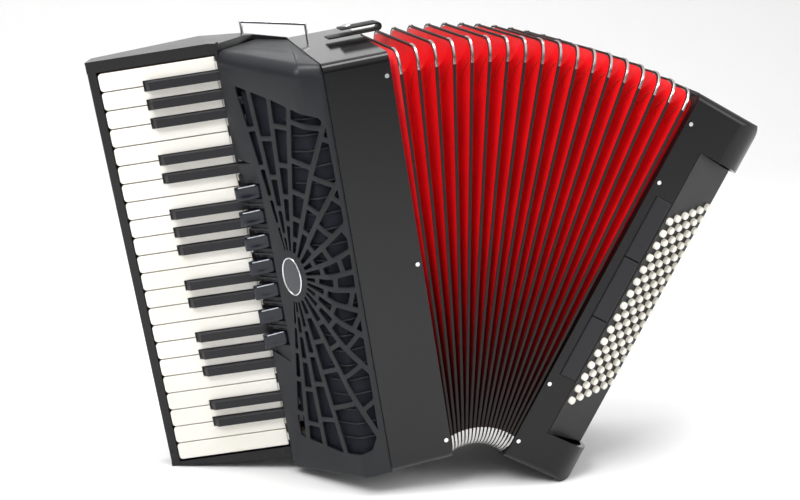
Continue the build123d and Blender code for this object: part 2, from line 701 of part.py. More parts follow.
def bass_case():
    """Bass case: open to the bellows, cut back where the button board sits, open behind the cover."""
    body = bass_volume(0) - bass_volume(CASE_WALL)
    deep = BOARD_THICKNESS + BOARD_SEAM
    cut = block(-0.5, BOARD_LENGTH + 40, -60, deep, BOARD_LOW, BOARD_HIGH)
    body -= BOARD_AXES * cut
    body -= block(
        BASS_CASE_WIDTH - CASE_WALL - 1,
        BASS_CASE_WIDTH + 1,
        COVER_FRONT,
        BODY_DEPTH - CASE_WALL,
        COVER_LOW,
        COVER_HIGH,
    )
    body -= block(
        BASS_REGISTER_START - MOVING_GAP,
        BASS_REGISTER_START + BASS_REGISTER_WIDTH + MOVING_GAP,
        -1,
        CASE_WALL + 1,
        BASS_REGISTER_LOW - MOVING_GAP,
        BASS_REGISTER_HIGH + MOVING_GAP,
    )
    x, y = WHEEL_PLACE
    boss = Pos(x, y, BODY_HEIGHT - 6) * Cylinder(WHEEL_RADIUS + 4, 14)
    body += boss & bass_volume(0)
    floor = top_at(y) + WHEEL_PROUD - WHEEL_THICKNESS - 0.6
    body -= Pos(x, y, floor + 20) * Cylinder(WHEEL_RADIUS + 1, 40)
    body -= Pos(x, y, floor) * Cylinder(WHEEL_SHAFT_RADIUS + RUNNING_CLEARANCE, 60)
    return body - pin_holes(FRAME_THICKNESS / 2, BASS_PIN_HEIGHTS)


def button_places():
    """Distance along the board's slope and height of every bass button."""
    places = []
    for row in range(BUTTON_ROWS):
        for index in range(BUTTON_COLUMN):
            s = BUTTON_EDGE + BUTTON_ROW_PITCH * row
            places.append((s, BUTTON_FIRST + BUTTON_PITCH * index + BUTTON_STAGGER * row))
    return places


def button_board():
    """Slanted board with one guide hole for each bass button."""
    low, high = BOARD_LOW + BOARD_SEAM, BOARD_HIGH - BOARD_SEAM
    board = block(BOARD_SEAM, BOARD_LENGTH, 0, BOARD_THICKNESS, low, high)
    hole = Rot(90, 0, 0) * Cylinder(BUTTON_RADIUS + 2 * RUNNING_CLEARANCE, 4 * BOARD_THICKNESS)
    holes = [Pos(s, 0, z) * hole for s, z in button_places()]
    return BOARD_AXES * (board - holes)


def bass_buttons():
    """All bass buttons, which share one travel."""
    button = Rot(90, 0, 0) * Cylinder(
        BUTTON_RADIUS, BUTTON_PROUD + BUTTON_INSIDE, align=(Align.CENTER, Align.CENTER, Align.MIN)
    )
    button = Pos(0, BUTTON_INSIDE, 0) * button
    button = fillet(button.edges().sort_by(Axis.Y)[0], BUTTON_EDGE_RADIUS)
    return [BOARD_AXES * Pos(s, 0, z) * button for s, z in button_places()]


def bass_registers():
    """Three long bars that choose the bass reeds."""
    length = (BASS_REGISTER_HIGH - BASS_REGISTER_LOW - 2 * KEY_GAP) / BASS_REGISTERS
    bars = []
    for index in range(BASS_REGISTERS):
        z = BASS_REGISTER_LOW + index * (length + KEY_GAP)
        bar = block(
            BASS_REGISTER_START,
            BASS_REGISTER_START + BASS_REGISTER_WIDTH,
            -BASS_REGISTER_PROUD,
            BASS_REGISTER_THICKNESS - BASS_REGISTER_PROUD,
            z,
            z + length,
        )
        bars.append(fillet(bar.faces().sort_by(Axis.Y)[0].edges(), BASS_REGISTER_EDGE))
    return bars


def bass_cover():
    """Removable plate under the hand strap."""
    gap = COVER_SEAM
    x1 = BASS_CASE_WIDTH
    plate = block(
        x1 - COVER_THICKNESS,
        x1,
        COVER_FRONT + gap,
        BODY_DEPTH - CASE_WALL - gap,
        COVER_LOW + gap,
        COVER_HIGH - gap,
    )
    y, z = AIR_BUTTON_PLACE
    hole = Pos(x1, y, z) * Rot(0, 90, 0) * Cylinder(AIR_BUTTON_RADIUS + MOVING_GAP, 4 * COVER_THICKNESS)
    return plate - hole


def air_button():
    """Button that opens the air valve, through the cover."""
    y, z = AIR_BUTTON_PLACE
    x = BASS_CASE_WIDTH
    button = rod((x - AIR_BUTTON_INSIDE, y, z), (x + AIR_BUTTON_PROUD, y, z), AIR_BUTTON_RADIUS)
    return fillet(button.edges().sort_by(Axis.X)[-1], 1.5)


def hand_strap():
    """Leather band that the player's hand goes under."""
    x = BASS_CASE_WIDTH + 0.2
    middle = (STRAP_LOW + STRAP_HIGH) / 2
    y0, y1 = STRAP_FRONT, STRAP_FRONT + STRAP_WIDTH
    outer_bow = x + STRAP_BOW + STRAP_THICKNESS
    foot_low, foot_high = STRAP_LOW + STRAP_FOOT, STRAP_HIGH - STRAP_FOOT
    outline = (
        ThreePointArc((x, y0, STRAP_LOW), (outer_bow, y0, middle), (x, y0, STRAP_HIGH))
        + Line((x, y0, STRAP_HIGH), (x, y0, foot_high))
        + ThreePointArc((x, y0, foot_high), (x + STRAP_BOW, y0, middle), (x, y0, foot_low))
        + Line((x, y0, foot_low), (x, y0, STRAP_LOW))
    )
    return extrude(make_face(outline), y1 - y0, dir=(0, 1, 0))


def strap_wheel():
    """Thumb wheel that tightens the hand strap, sunk into the case's top."""
    x, y = WHEEL_PLACE
    high = top_at(y) + WHEEL_PROUD
    wheel = rod((x, y, high - WHEEL_THICKNESS), (x, y, high), WHEEL_RADIUS)
    for index in range(WHEEL_GROOVES):
        angle = radians(360 * index / WHEEL_GROOVES)
        groove = Cylinder(WHEEL_GROOVE_RADIUS, 40)
        wheel -= Pos(x + WHEEL_RADIUS * cos(angle), y + WHEEL_RADIUS * sin(angle), high) * groove
    shaft_end = high - WHEEL_THICKNESS - WHEEL_SHAFT_LENGTH
    return wheel + rod((x, y, shaft_end), (x, y, high - 2), WHEEL_SHAFT_RADIUS)


def rubber_feet():
    """Four feet on the cover for setting the instrument down on its bass side."""
    x = BASS_CASE_WIDTH
    feet = []
    for y in (COVER_FRONT + 12, BODY_DEPTH - 18):
        for z in (COVER_LOW + FOOT_INSET, COVER_HIGH - FOOT_INSET):
            foot = Cone(FOOT_RADIUS, FOOT_RADIUS - 1.5, FOOT_HEIGHT)
            feet.append(Pos(x + FOOT_HEIGHT / 2, y, z) * Rot(0, 90, 0) * foot)
    return feet


# ---- placing both sides ---------------------------------------------------------------------------------
BASS_ORIGIN = fan_point(1.0, 0.0)
BASS_PLACE = Location((BASS_ORIGIN[0], 0, BASS_ORIGIN[1]), (0, FAN_ANGLE, 0))


def standing_tilt(treble_solid, bass_solid):
    """Tilt of the treble side at which both sides' lowest points stand on one level."""
    low, high = 0.0, FAN_ANGLE
    while high - low > FLOOR_TOLERANCE:
        middle = (low + high) / 2
        lean = Rot(0, -middle, 0)
        drop = (lean * treble_solid).bounding_box().min.Z - (lean * bass_solid).bounding_box().min.Z
        if drop > 0:
            low = middle
        else:
            high = middle
    return (low + high) / 2


def model():
    """Every node's solids in the treble frame."""
    nodes = {
        "treble_case": [treble_case()],
        "keyboard_bed": [keyboard_bed()],
        "grille": [grille()],
        "pivot_rods": pivot_rods(),
        "treble_reed_blocks": reed_blocks(TREBLE_REED_ROWS, *TREBLE_REED_SPAN),
        "register_switches": register_switches(),
        "strap_brackets": strap_brackets(),
        "treble_pins": pin_row(-FRAME_THICKNESS / 2, TREBLE_PIN_HEIGHTS),
        "treble_bellows_frame": [bellows_frame(-FRAME_THICKNESS, 0)],
        "bellows": [bellows()],
        "bellows_straps": bellows_straps(),
    }
    for index in range(WHITE_KEYS):
        nodes[f"white_key_{index + 1:02d}"] = [white_key(index)]
    blacks = [index for index in range(WHITE_KEYS) if has_black_after(index)]
    for number, index in enumerate(blacks, 1):
        nodes[f"black_key_{number:02d}"] = [black_key(index)]
    bass = {
        "bass_case": [bass_case()],
        "bass_cover": [bass_cover()],
        "button_board": [button_board()],
        "bass_buttons": bass_buttons(),
        "bass_registers": bass_registers(),
        "bass_reed_blocks": reed_blocks(BASS_REED_ROWS, *BASS_REED_SPAN),
        "bass_bellows_frame": [bellows_frame(0, FRAME_THICKNESS)],
        "bass_pins": pin_row(FRAME_THICKNESS / 2, BASS_PIN_HEIGHTS),
        "air_button": [air_button()],
        "hand_strap": [hand_strap()],
        "strap_wheel": [strap_wheel()],
        "rubber_feet": rubber_feet(),
    }
    for name, solids in bass.items():
        nodes[name] = [BASS_PLACE * solid for solid in solids]
    return nodes


def place_and_write(nodes):
    """Stands the instrument on its lower corners, centres it and writes one file for each node."""
    tilt = standing_tilt(nodes["keyboard_bed"][0], nodes["bass_case"][0])
    lean = Rot(0, -tilt, 0)
    boxes = [(lean * solid).bounding_box() for solids in nodes.values() for solid in solids]
    low = [min(box.min.X for box in boxes), min(box.min.Y for box in boxes), min(box.min.Z for box in boxes)]
    high = [max(box.max.X for box in boxes), max(box.max.Y for box in boxes)]
    place = Pos(-(low[0] + high[0]) / 2, -(low[1] + high[1]) / 2, -low[2]) * lean
    os.makedirs("parts", exist_ok=True)
    for name, solids in nodes.items():
        export_step(Compound(children=[place * solid for solid in solids]), f"parts/{name}.step")
    return tilt, place


def report(tilt, place):
    """Prints the joint positions and directions in the shared frame."""
    def spot(x, y, z):
        point = place * Pos(x, y, z)
        return tuple(round(value / 1000, 6) for value in point.position)

    def heading(x, y, z):
        a = Vector(*(place * Pos(x, y, z)).position) - Vector(*(place * Pos(0, 0, 0)).position)
        return tuple(round(value, 6) for value in a.normalized())

    press = (-sin(radians(BOARD_ANGLE)), cos(radians(BOARD_ANGLE)))
    out = turn(1, 0, FAN_ANGLE)
    in_bass = turn(press[0], 0, FAN_ANGLE)
    up = turn(0, 1, FAN_ANGLE)
    wheel = BASS_PLACE * Pos(WHEEL_PLACE[0], WHEEL_PLACE[1], BODY_HEIGHT)
    print("tilt", round(tilt, 4))
    print("bellows pivot", spot(PIVOT[0], BODY_DEPTH / 2, PIVOT[1]))
    print("key axle", spot(AXLE_X, AXLE_Y, 0), "key line", heading(0, 0, -1))
    print("register axle", spot(REGISTER_AXLE_X, REGISTER_Y + REGISTER_THICKNESS / 2, REGISTER_BASE))
    print("button press", heading(in_bass[0], press[1], in_bass[1]))
    print("air press", heading(-out[0], 0, -out[1]))
    print("wheel", spot(*wheel.position), "wheel line", heading(up[0], 0, up[1]))
    print("treble back", spot(-TREBLE_CASE_WIDTH / 2, BODY_DEPTH, BODY_HEIGHT / 2))
    for z in (140, 213, 286):
        mid = BASS_PLACE * Pos(BASS_CASE_WIDTH + 9, STRAP_FRONT + STRAP_WIDTH / 2, z)
        print("strap gap", z, spot(*mid.position))
    bail_x = -TREBLE_CASE_WIDTH - (BAIL_LEFT - BAIL_RIGHT) / 2
    bail_y = board_front(-TREBLE_CASE_WIDTH - BAIL_LEFT) + BED_PLATE / 2
    print("bail gap", spot(bail_x, bail_y, BODY_HEIGHT + BAIL_RISE - 3))


report(*place_and_write(model()))
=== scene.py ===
import json
import logging
import math
from dataclasses import dataclass, field
from enum import Enum
from typing import Optional, Sequence, Union

import bmesh
import bpy
import numpy as np
from mathutils import Matrix, Vector
from mathutils.geometry import delaunay_2d_cdt


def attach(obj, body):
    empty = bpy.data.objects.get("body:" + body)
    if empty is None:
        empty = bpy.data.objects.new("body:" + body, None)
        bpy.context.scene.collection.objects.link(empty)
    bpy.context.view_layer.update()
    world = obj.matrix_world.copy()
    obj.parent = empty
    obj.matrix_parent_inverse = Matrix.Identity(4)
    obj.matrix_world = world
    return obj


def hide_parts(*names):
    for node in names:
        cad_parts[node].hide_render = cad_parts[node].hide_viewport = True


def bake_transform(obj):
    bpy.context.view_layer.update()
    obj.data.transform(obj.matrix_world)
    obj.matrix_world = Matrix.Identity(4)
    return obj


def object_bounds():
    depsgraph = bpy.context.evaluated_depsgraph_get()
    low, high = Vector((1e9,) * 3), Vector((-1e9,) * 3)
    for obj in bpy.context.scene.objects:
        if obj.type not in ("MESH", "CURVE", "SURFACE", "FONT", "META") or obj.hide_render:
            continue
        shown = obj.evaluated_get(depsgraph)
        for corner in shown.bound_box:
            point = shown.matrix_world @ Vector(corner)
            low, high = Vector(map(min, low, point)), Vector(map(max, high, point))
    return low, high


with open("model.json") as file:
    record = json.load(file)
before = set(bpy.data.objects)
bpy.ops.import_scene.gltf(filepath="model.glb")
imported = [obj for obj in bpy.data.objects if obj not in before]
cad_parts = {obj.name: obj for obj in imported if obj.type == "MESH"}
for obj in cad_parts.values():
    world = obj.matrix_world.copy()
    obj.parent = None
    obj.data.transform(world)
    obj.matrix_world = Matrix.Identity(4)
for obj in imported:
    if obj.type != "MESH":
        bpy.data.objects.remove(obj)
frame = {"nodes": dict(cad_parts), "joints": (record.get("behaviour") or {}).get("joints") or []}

# A piano accordion standing on its two lower corners. Shapes are worked out in millimetres on the side that
# they belong to (treble or bass) and are then placed in the shared frame, which is in metres.

PACKED_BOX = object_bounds()
MM = 0.001
logging.basicConfig(level=logging.INFO, format="%(name)s: %(message)s")
log = logging.getLogger("accordion")

Finish = bpy.types.Material
Model = bpy.types.Object
Point2 = tuple[float, float]
Point3 = tuple[float, float, float]
RimPoint = tuple[float, float, bool]
Colour = tuple[float, float, float]


class Side(Enum):
    """The two ends of the instrument."""

    TREBLE = "treble"
    BASS = "bass"


class Corner(Enum):
    """Corners of the bellows' section, as the signs of the player's direction and of up."""

    FRONT_TOP = (-1, 1)
    BACK_TOP = (1, 1)
    BACK_BOTTOM = (1, -1)
    FRONT_BOTTOM = (-1, -1)


# ---- node trees
Value = Union[float, int, bool, Sequence[float], bpy.types.ID, "Socket"]


class Socket:
    """Output of a node, wrapped so that sums on it read as plain expressions."""

    def __init__(self, graph: "Graph", made: bpy.types.Node, output: Union[int, str] = 0) -> None:
        """Keeps one output of a node.

        Args:
            graph: The node's graph.
            made: The node.
            output: Which output.
        """
        self.graph = graph
        self.made = made
        self.output = made.outputs[output]

    def out(self, name: Union[int, str]) -> "Socket":
        """Another output of the same node."""
        return Socket(self.graph, self.made, name)

    def _maths(self, operation: str, *values: Value) -> "Socket":
        """Adds a Math node for an operation on up to three values."""
        return self.graph.node("ShaderNodeMath", {"operation": operation}, dict(enumerate(values)))

    def __add__(self, other: Value) -> "Socket":
        """self + other"""
        return self._maths("ADD", self, other)

    def __radd__(self, other: Value) -> "Socket":
        """other + self"""
        return self._maths("ADD", other, self)

    def __sub__(self, other: Value) -> "Socket":
        """self - other"""
        return self._maths("SUBTRACT", self, other)

    def __rsub__(self, other: Value) -> "Socket":
        """other - self"""
        return self._maths("SUBTRACT", other, self)

    def __mul__(self, other: Value) -> "Socket":
        """self * other"""
        return self._maths("MULTIPLY", self, other)

    def __rmul__(self, other: Value) -> "Socket":
        """other * self"""
        return self._maths("MULTIPLY", other, self)

    def __truediv__(self, other: Value) -> "Socket":
        """self / other"""
        return self._maths("DIVIDE", self, other)

    def sine(self) -> "Socket":
        """Sine of the value, in radians."""
        return self._maths("SINE", self)

    def cosine(self) -> "Socket":
        """Cosine of the value, in radians."""
        return self._maths("COSINE", self)

    def between(self, low: float, high: float) -> "Socket":
        """Smooth step from 0 at low to 1 at high."""
        sockets = {"Value": self, "From Min": low, "From Max": high}
        return self.graph.node("ShaderNodeMapRange", {"interpolation_type": "SMOOTHSTEP"}, sockets)


class Graph:
    """A node tree under construction."""

    def __init__(self, tree: bpy.types.NodeTree) -> None:
        """Starts on an existing node tree."""
        self.tree = tree

    def node(
        self,
        kind: str,
        settings: Optional[dict] = None,
        sockets: Optional[dict] = None,
        output: Union[int, str] = 0,
    ) -> Socket:
        """Adds any node: its settings first, then the values and links of its sockets.

        Args:
            kind: The node's type.
            settings: Properties of the node; "stops" fills a colour ramp.
            sockets: Values or links by the input's name or number.
            output: The output that the returned socket stands for.

        Returns:
            The wrapped output.
        """
        made = self.tree.nodes.new(kind)
        for key, value in (settings or {}).items():
            if key == "stops":
                self._fill_ramp(made.color_ramp, value)
            else:
                setattr(made, key, value)
        for key, value in (sockets or {}).items():
            if isinstance(value, Socket):
                self.tree.links.new(value.output, made.inputs[key])
            else:
                made.inputs[key].default_value = value
        return Socket(self, made, output)

    @staticmethod
    def _fill_ramp(ramp: bpy.types.ColorRamp, stops: Sequence[tuple[float, Colour]]) -> None:
        """Gives a colour ramp its stops.

        Args:
            ramp: Ramp to fill.
            stops: Place and colour of each.
        """
        while len(ramp.elements) < len(stops):
            ramp.elements.new(1.0)
        for element, (place, colour) in zip(ramp.elements, stops):
            element.position = place
            element.color = (*colour, 1.0)


class FinishGraph(Graph):
    """Shader tree of one material, ending in a Principled shader."""

    def __init__(self, name: str) -> None:
        """Starts an empty material.

        Args:
            name: Name of the material.
        """
        self.material = bpy.data.materials.new(name)
        self.material.use_nodes = True
        super().__init__(self.material.node_tree)
        self.tree.nodes.clear()
        self.where = self.node("ShaderNodeTexCoord", output="Object")
        self.layout = self.where.out("UV")

    def noise(self, scale: float, detail: float = 2.0, at: Optional[Socket] = None) -> Socket:
        """Cloudy value round 0.5; the scale is in spots per metre."""
        sockets = {"Vector": at or self.where, "Scale": scale, "Detail": detail}
        return self.node("ShaderNodeTexNoise", None, sockets, "Fac")

    def stretched(self, scale: Point3, turn: Point3 = (0.0, 0.0, 0.0)) -> Socket:
        """Object coordinates turned and scaled apart along each axis."""
        return self.node("ShaderNodeMapping", None, {"Vector": self.where, "Rotation": turn, "Scale": scale})

    def split(self, vector: Socket) -> Socket:
        """Separate X, Y and Z of a vector."""
        return self.node("ShaderNodeSeparateXYZ", None, {"Vector": vector})

    def blend(self, share: Socket, first: Union[Colour, Socket], second: Union[Colour, Socket]) -> Socket:
        """Colour between two colours.

        Args:
            share: 0 is the first colour.
            first: Colour at 0.
            second: Colour at 1.

        Returns:
            The mixed colour.
        """
        colours = [c if isinstance(c, Socket) else (*c, 1.0) for c in (first, second)]
        sockets = {"Factor": share, 6: colours[0], 7: colours[1]}
        return self.node("ShaderNodeMix", {"data_type": "RGBA"}, sockets, 2)

    def bump(self, height: Socket, strength: float, depth: float, under: Optional[Socket] = None) -> Socket:
        """Relief from a height; the depth is in metres.

        Args:
            height: The height.
            strength: Tilt of the light.
            depth: Depth in metres.
            under: Relief below it.

        Returns:
            The tilted normal.
        """
        sockets = {"Height": height, "Strength": strength, "Distance": depth}
        if under:
            sockets["Normal"] = under
        return self.node("ShaderNodeBump", None, sockets, "Normal")

    def close(self, **sockets: Value) -> Finish:
        """Adds the shader; a name such as base_color stands for the socket Base Color.

        Args:
            sockets: Values or links of the shader's sockets.

        Returns:
            The material.
        """
        named = {}
        for key, value in sockets.items():
            words = [word.upper() if word == "ior" else word.capitalize() for word in key.split("_")]
            plain_colour = key.endswith(("color", "tint")) and not isinstance(value, Socket)
            named[" ".join(words)] = (*value, 1.0) if plain_colour else value
        shader = self.node("ShaderNodeBsdfPrincipled", None, named)
        output = self.tree.nodes.new("ShaderNodeOutputMaterial")
        self.tree.links.new(shader.output, output.inputs["Surface"])
        return self.material


class RepeatGraph(Graph):
    """Geometry tree that repeats a piece, with named inputs for its sizes."""

    def __init__(self, name: str) -> None:
        """Starts a tree that gives out a geometry.

        Args:
            name: Name of the tree.
        """
        super().__init__(bpy.data.node_groups.new(name, "GeometryNodeTree"))
        self.tree.interface.new_socket("Geometry", in_out="OUTPUT", socket_type="NodeSocketGeometry")
        self.entry = self.tree.nodes.new("NodeGroupInput")
        self.entry.name = "sizes"

    def size(self, name: str, kind: str = "NodeSocketFloat") -> Socket:
        """Declares a named input and gives its socket."""
        self.tree.interface.new_socket(name, in_out="INPUT", socket_type=kind)
        return Socket(self, self.entry, name)

    def piece(self) -> Socket:
        shape = self.size("Piece", "NodeSocketObject")
        return self.node("GeometryNodeObjectInfo", None, {"Object": shape}, "Geometry")

    def copies(self, points: Socket, piece: Socket, rotation: Value = (0.0, 0.0, 0.0)) -> Socket:
        """Copies of a piece on points, as instances."""
        sockets = {"Points": points, "Instance": piece, "Rotation": rotation}
        return self.node("GeometryNodeInstanceOnPoints", None, sockets)

    def close(self, geometry: Socket) -> "RepeatGraph":
        """Makes the copies real, sets their material and ends the tree.

        Args:
            geometry: Copies as instances.

        Returns:
            The finished tree.
        """
        finish = self.size("Finish", "NodeSocketMaterial")
        real = self.node("GeometryNodeRealizeInstances", None, {"Geometry": geometry})
        dressed = self.node("GeometryNodeSetMaterial", None, {"Geometry": real, "Material": finish})
        output = self.tree.nodes.new("NodeGroupOutput")
        self.tree.links.new(dressed.output, output.inputs["Geometry"])
        return self

    def grow(self, sizes: dict[str, Value], start: Optional[Model] = None) -> bpy.types.Mesh:
        """Runs the tree once.

        Args:
            sizes: The value of each named input.
            start: Object whose own shape the tree works on, if it needs one. It is used up.

        Returns:
            The result as a plain mesh.
        """
        host = start or bpy.data.objects.new("host", bpy.data.meshes.new("host"))
        if host.name not in bpy.context.scene.collection.objects:
            bpy.context.scene.collection.objects.link(host)
        modifier = host.modifiers.new("repeat", "NODES")
        modifier.node_group = self.tree
        for item in self.tree.interface.items_tree:
            if item.in_out == "INPUT" and item.name in sizes:
                modifier[item.identifier] = sizes[item.name]
        host.update_tag()
        depsgraph = bpy.context.evaluated_depsgraph_get()
        mesh = bpy.data.meshes.new_from_object(host.evaluated_get(depsgraph), depsgraph=depsgraph)
        bpy.data.objects.remove(host)
        return mesh


# ---- finishes
@dataclass(frozen=True)
class Lacquer:
    """Sprayed or moulded black finish with a faint ripple and uneven gloss."""

    name: str
    colour: Colour
    gloss: float = 0.16
    spread: float = 0.1
    coat: float = 0.5
    ripple: float = 0.05
    grain: float = 700.0
    shine: float = 0.22

    def make(self) -> Finish:
        """Builds the material.

        Returns:
            The material.
        """
        graph = FinishGraph(self.name)
        cloud = graph.noise(11.0, 3.0)
        lighter = tuple(min(1.0, channel * 1.35 + 0.001) for channel in self.colour)
        relief = graph.bump(graph.noise(self.grain, 1.0), self.ripple, 0.0002)
        return graph.close(
            base_color=graph.blend(cloud, self.colour, lighter),
            roughness=self.gloss + self.spread * graph.noise(34.0, 4.0),
            specular_ior_level=self.shine,
            coat_weight=self.coat,
            coat_roughness=0.08,
            coat_ior=1.3,
            normal=relief,
        )


@dataclass(frozen=True)
class KeyTop:
    """Glossy key plate on a wooden body; the plate ends a little below the top face."""

    name: str
    colour: Colour
    up: Vector
    top: Vector
    plate: float = 0.0024
    timber: Colour = (0.42, 0.27, 0.14)

    def make(self) -> Finish:
        """Builds the material.

        Returns:
            The material.
        """
        graph = FinishGraph(self.name)
        height = graph.node(
            "ShaderNodeVectorMath", {"operation": "DOT_PRODUCT"}, {0: graph.where, 1: tuple(self.up)}, "Value"
        )
        over = height - self.up.dot(self.top)
        body = (-1.0 * over).between(self.plate, self.plate + 0.0003)
        warm = tuple(channel * shade for channel, shade in zip(self.colour, (0.94, 0.91, 0.84)))
        plate = graph.blend(graph.noise(14.0, 3.0), self.colour, warm)
        grain = graph.noise(60.0, 3.0, graph.stretched((1.0, 1.0, 14.0)))
        wood = graph.blend(grain, self.timber, tuple(channel * 0.6 for channel in self.timber))
        return graph.close(
            base_color=graph.blend(body, plate, wood),
            roughness=0.17 + 0.12 * graph.noise(40.0, 4.0) + 0.4 * body,
            coat_weight=0.35 - 0.35 * body,
            coat_roughness=0.06,
            normal=graph.bump(graph.noise(420.0, 1.0), 0.04, 0.0001),
        )


@dataclass(frozen=True)
class PleatCloth:
    """Satin bookbinder's cloth over card, with a fine crossed weave, and, if asked, painted shade that darkens
    it towards the bottom.
    """

    name: str
    colour: Colour
    gloss: float = 0.42
    thread: float = 0.0006
    painted_shade_rise: Optional[tuple[float, float]] = None  # heights in metres over which the painted shade at the bottom gives way to the cloth's own colour
    painted_shade_level: float = 0.012  # brightness of the painted shade, as a share of the cloth's colour

    def make(self) -> Finish:
        """Builds the material.

        Returns:
            The material.
        """
        graph = FinishGraph(self.name)
        along = graph.split(graph.layout)
        turns = 2 * math.pi / self.thread
        weave = (along * turns).sine() * (along.out("Y") * turns).sine()
        deep = tuple(channel * 0.72 for channel in self.colour)
        wear = graph.noise(26.0, 4.0)
        soft = graph.bump(graph.noise(150.0, 3.0), 0.12, 0.0006)
        tone_and_painted_shade = graph.blend(wear, self.colour, deep)
        # Painted shade: below these heights the cloth is darkened almost to black, standing in for the shade in
        # the lower folds.
        if self.painted_shade_rise:
            low, high = self.painted_shade_rise
            shade_fade = graph.split(graph.where).out("Z").between(low, high)
            black = tuple(channel * self.painted_shade_level for channel in self.colour)
            tone_and_painted_shade = graph.blend(shade_fade, black, tone_and_painted_shade)
        return graph.close(
            base_color=tone_and_painted_shade,
            roughness=self.gloss + 0.14 * wear,
            specular_ior_level=0.25,
            normal=graph.bump(weave, 0.12, 0.0001, soft),
        )


@dataclass(frozen=True)
class OpenWeave:
    """Thin dark cloth whose threads can be told apart."""

    name: str
    colour: Colour
    thread: float = 0.0016

    def make(self) -> Finish:
        """Builds the material.

        Returns:
            The material.
        """
        graph = FinishGraph(self.name)
        along = graph.split(graph.layout)
        turns = 2 * math.pi / self.thread
        weave = ((along * turns).sine() * (along.out("Y") * turns).sine()).between(-0.6, 0.7)
        pale = tuple(channel * 3.2 for channel in self.colour)
        return graph.close(
            base_color=graph.blend(weave, self.colour, pale),
            roughness=0.62 + 0.2 * graph.noise(90.0, 3.0),
            specular_ior_level=0.2,
            normal=graph.bump(weave, 0.5, 0.0003),
        )


@dataclass(frozen=True)
class PolishedMetal:
    """Bright metal with fine wear marks."""

    name: str
    colour: Colour
    gloss: float = 0.1
    spread: float = 0.16

    def make(self) -> Finish:
        """Builds the material.

        Returns:
            The material.
        """
        graph = FinishGraph(self.name)
        marks = graph.noise(240.0, 5.0, graph.stretched((1.0, 1.0, 0.2)))
        dull = tuple(channel * 0.78 for channel in self.colour)
        return graph.close(
            base_color=graph.blend(graph.noise(60.0, 3.0), self.colour, dull),
            metallic=1.0,
            roughness=self.gloss + self.spread * marks,
            normal=graph.bump(marks, 0.05, 0.0001),
        )


@dataclass(frozen=True)
class Leather:
    """Dyed leather with pebbled grain and rubbed high spots."""

    name: str
    colour: Colour
    rubbed: Colour
    grain: float = 620.0

    def make(self) -> Finish:
        """Builds the material.

        Returns:
            The material.
        """
        graph = FinishGraph(self.name)
        pebbles = {"Vector": graph.where, "Scale": self.grain}
        cells = graph.node("ShaderNodeTexVoronoi", None, pebbles, "Distance")
        creases = graph.noise(120.0, 5.0)
        wear = graph.noise(22.0, 4.0).between(0.5, 0.75)
        height = cells * 0.6 + creases
        return graph.close(
            base_color=graph.blend(wear, self.colour, self.rubbed),
            roughness=0.38 + 0.2 * creases,
            specular_ior_level=0.3,
            normal=graph.bump(height, 0.35, 0.0005),
        )


@dataclass(frozen=True)
class Timber:
    """Oiled wood with its grain along one direction."""

    name: str
    colour: Colour
    dark: Colour

    def make(self) -> Finish:
        """Builds the material.

        Returns:
            The material.
        """
        graph = FinishGraph(self.name)
        place = graph.stretched((90.0, 90.0, 6.0))
        rings = graph.noise(1.0, 5.0, place)
        pores = graph.noise(14.0, 2.0, place)
        return graph.close(
            base_color=graph.blend(rings.between(0.35, 0.68), self.colour, self.dark),
            roughness=0.5 + 0.2 * rings,
            normal=graph.bump(pores, 0.2, 0.0003),
        )


@dataclass(frozen=True)
class Matt:
    """Dull moulded surface, such as rubber, felt or thread."""

    name: str
    colour: Colour
    gloss: float = 0.7
    grain: float = 500.0
    relief: float = 0.3

    def make(self) -> Finish:
        """Builds the material.

        Returns:
            The material.
        """
        graph = FinishGraph(self.name)
        speck = graph.noise(self.grain, 3.0)
        paler = tuple(channel * 1.5 + 0.004 for channel in self.colour)
        return graph.close(
            base_color=graph.blend(speck.between(0.4, 0.7), self.colour, paler),
            roughness=self.gloss + 0.15 * speck,
            normal=graph.bump(speck, self.relief, 0.0003),
        )


# ---- places
@dataclass(frozen=True)
class Body:
    """Outer sizes that both sides share, in millimetres."""

    depth: float = 185.0
    height: float = 424.0
    rise: float = 8.0
    pivot: Point2 = (36.3, 0.6)
    fan: float = 38.0
    closed: float = 58.0
    key_yaw: float = 15.7
    key_line: Point2 = (-152.0, 85.0)
    bass_width: float = 92.0

    def top(self, y: float) -> float:
        """Height of a case's top at a distance from the front."""
        return self.height + self.rise * y / self.depth

    def fan_point(self, share: float, offset: float, z: float) -> Point2:
        """Place in the bellows' fan, in X and Z of the treble side.

        Args:
            share: 0 at the treble case, 1 at the bass case.
            offset: Distance square to the fold at that share.
            z: Height on the unfanned section.

        Returns:
            X and Z on the treble side.
        """
        angle = math.radians(self.fan * share)
        x = self.closed * share - self.pivot[0] + offset
        up = z - self.pivot[1]
        across = x * math.cos(angle) + up * math.sin(angle)
        return self.pivot[0] + across, self.pivot[1] + up * math.cos(angle) - x * math.sin(angle)


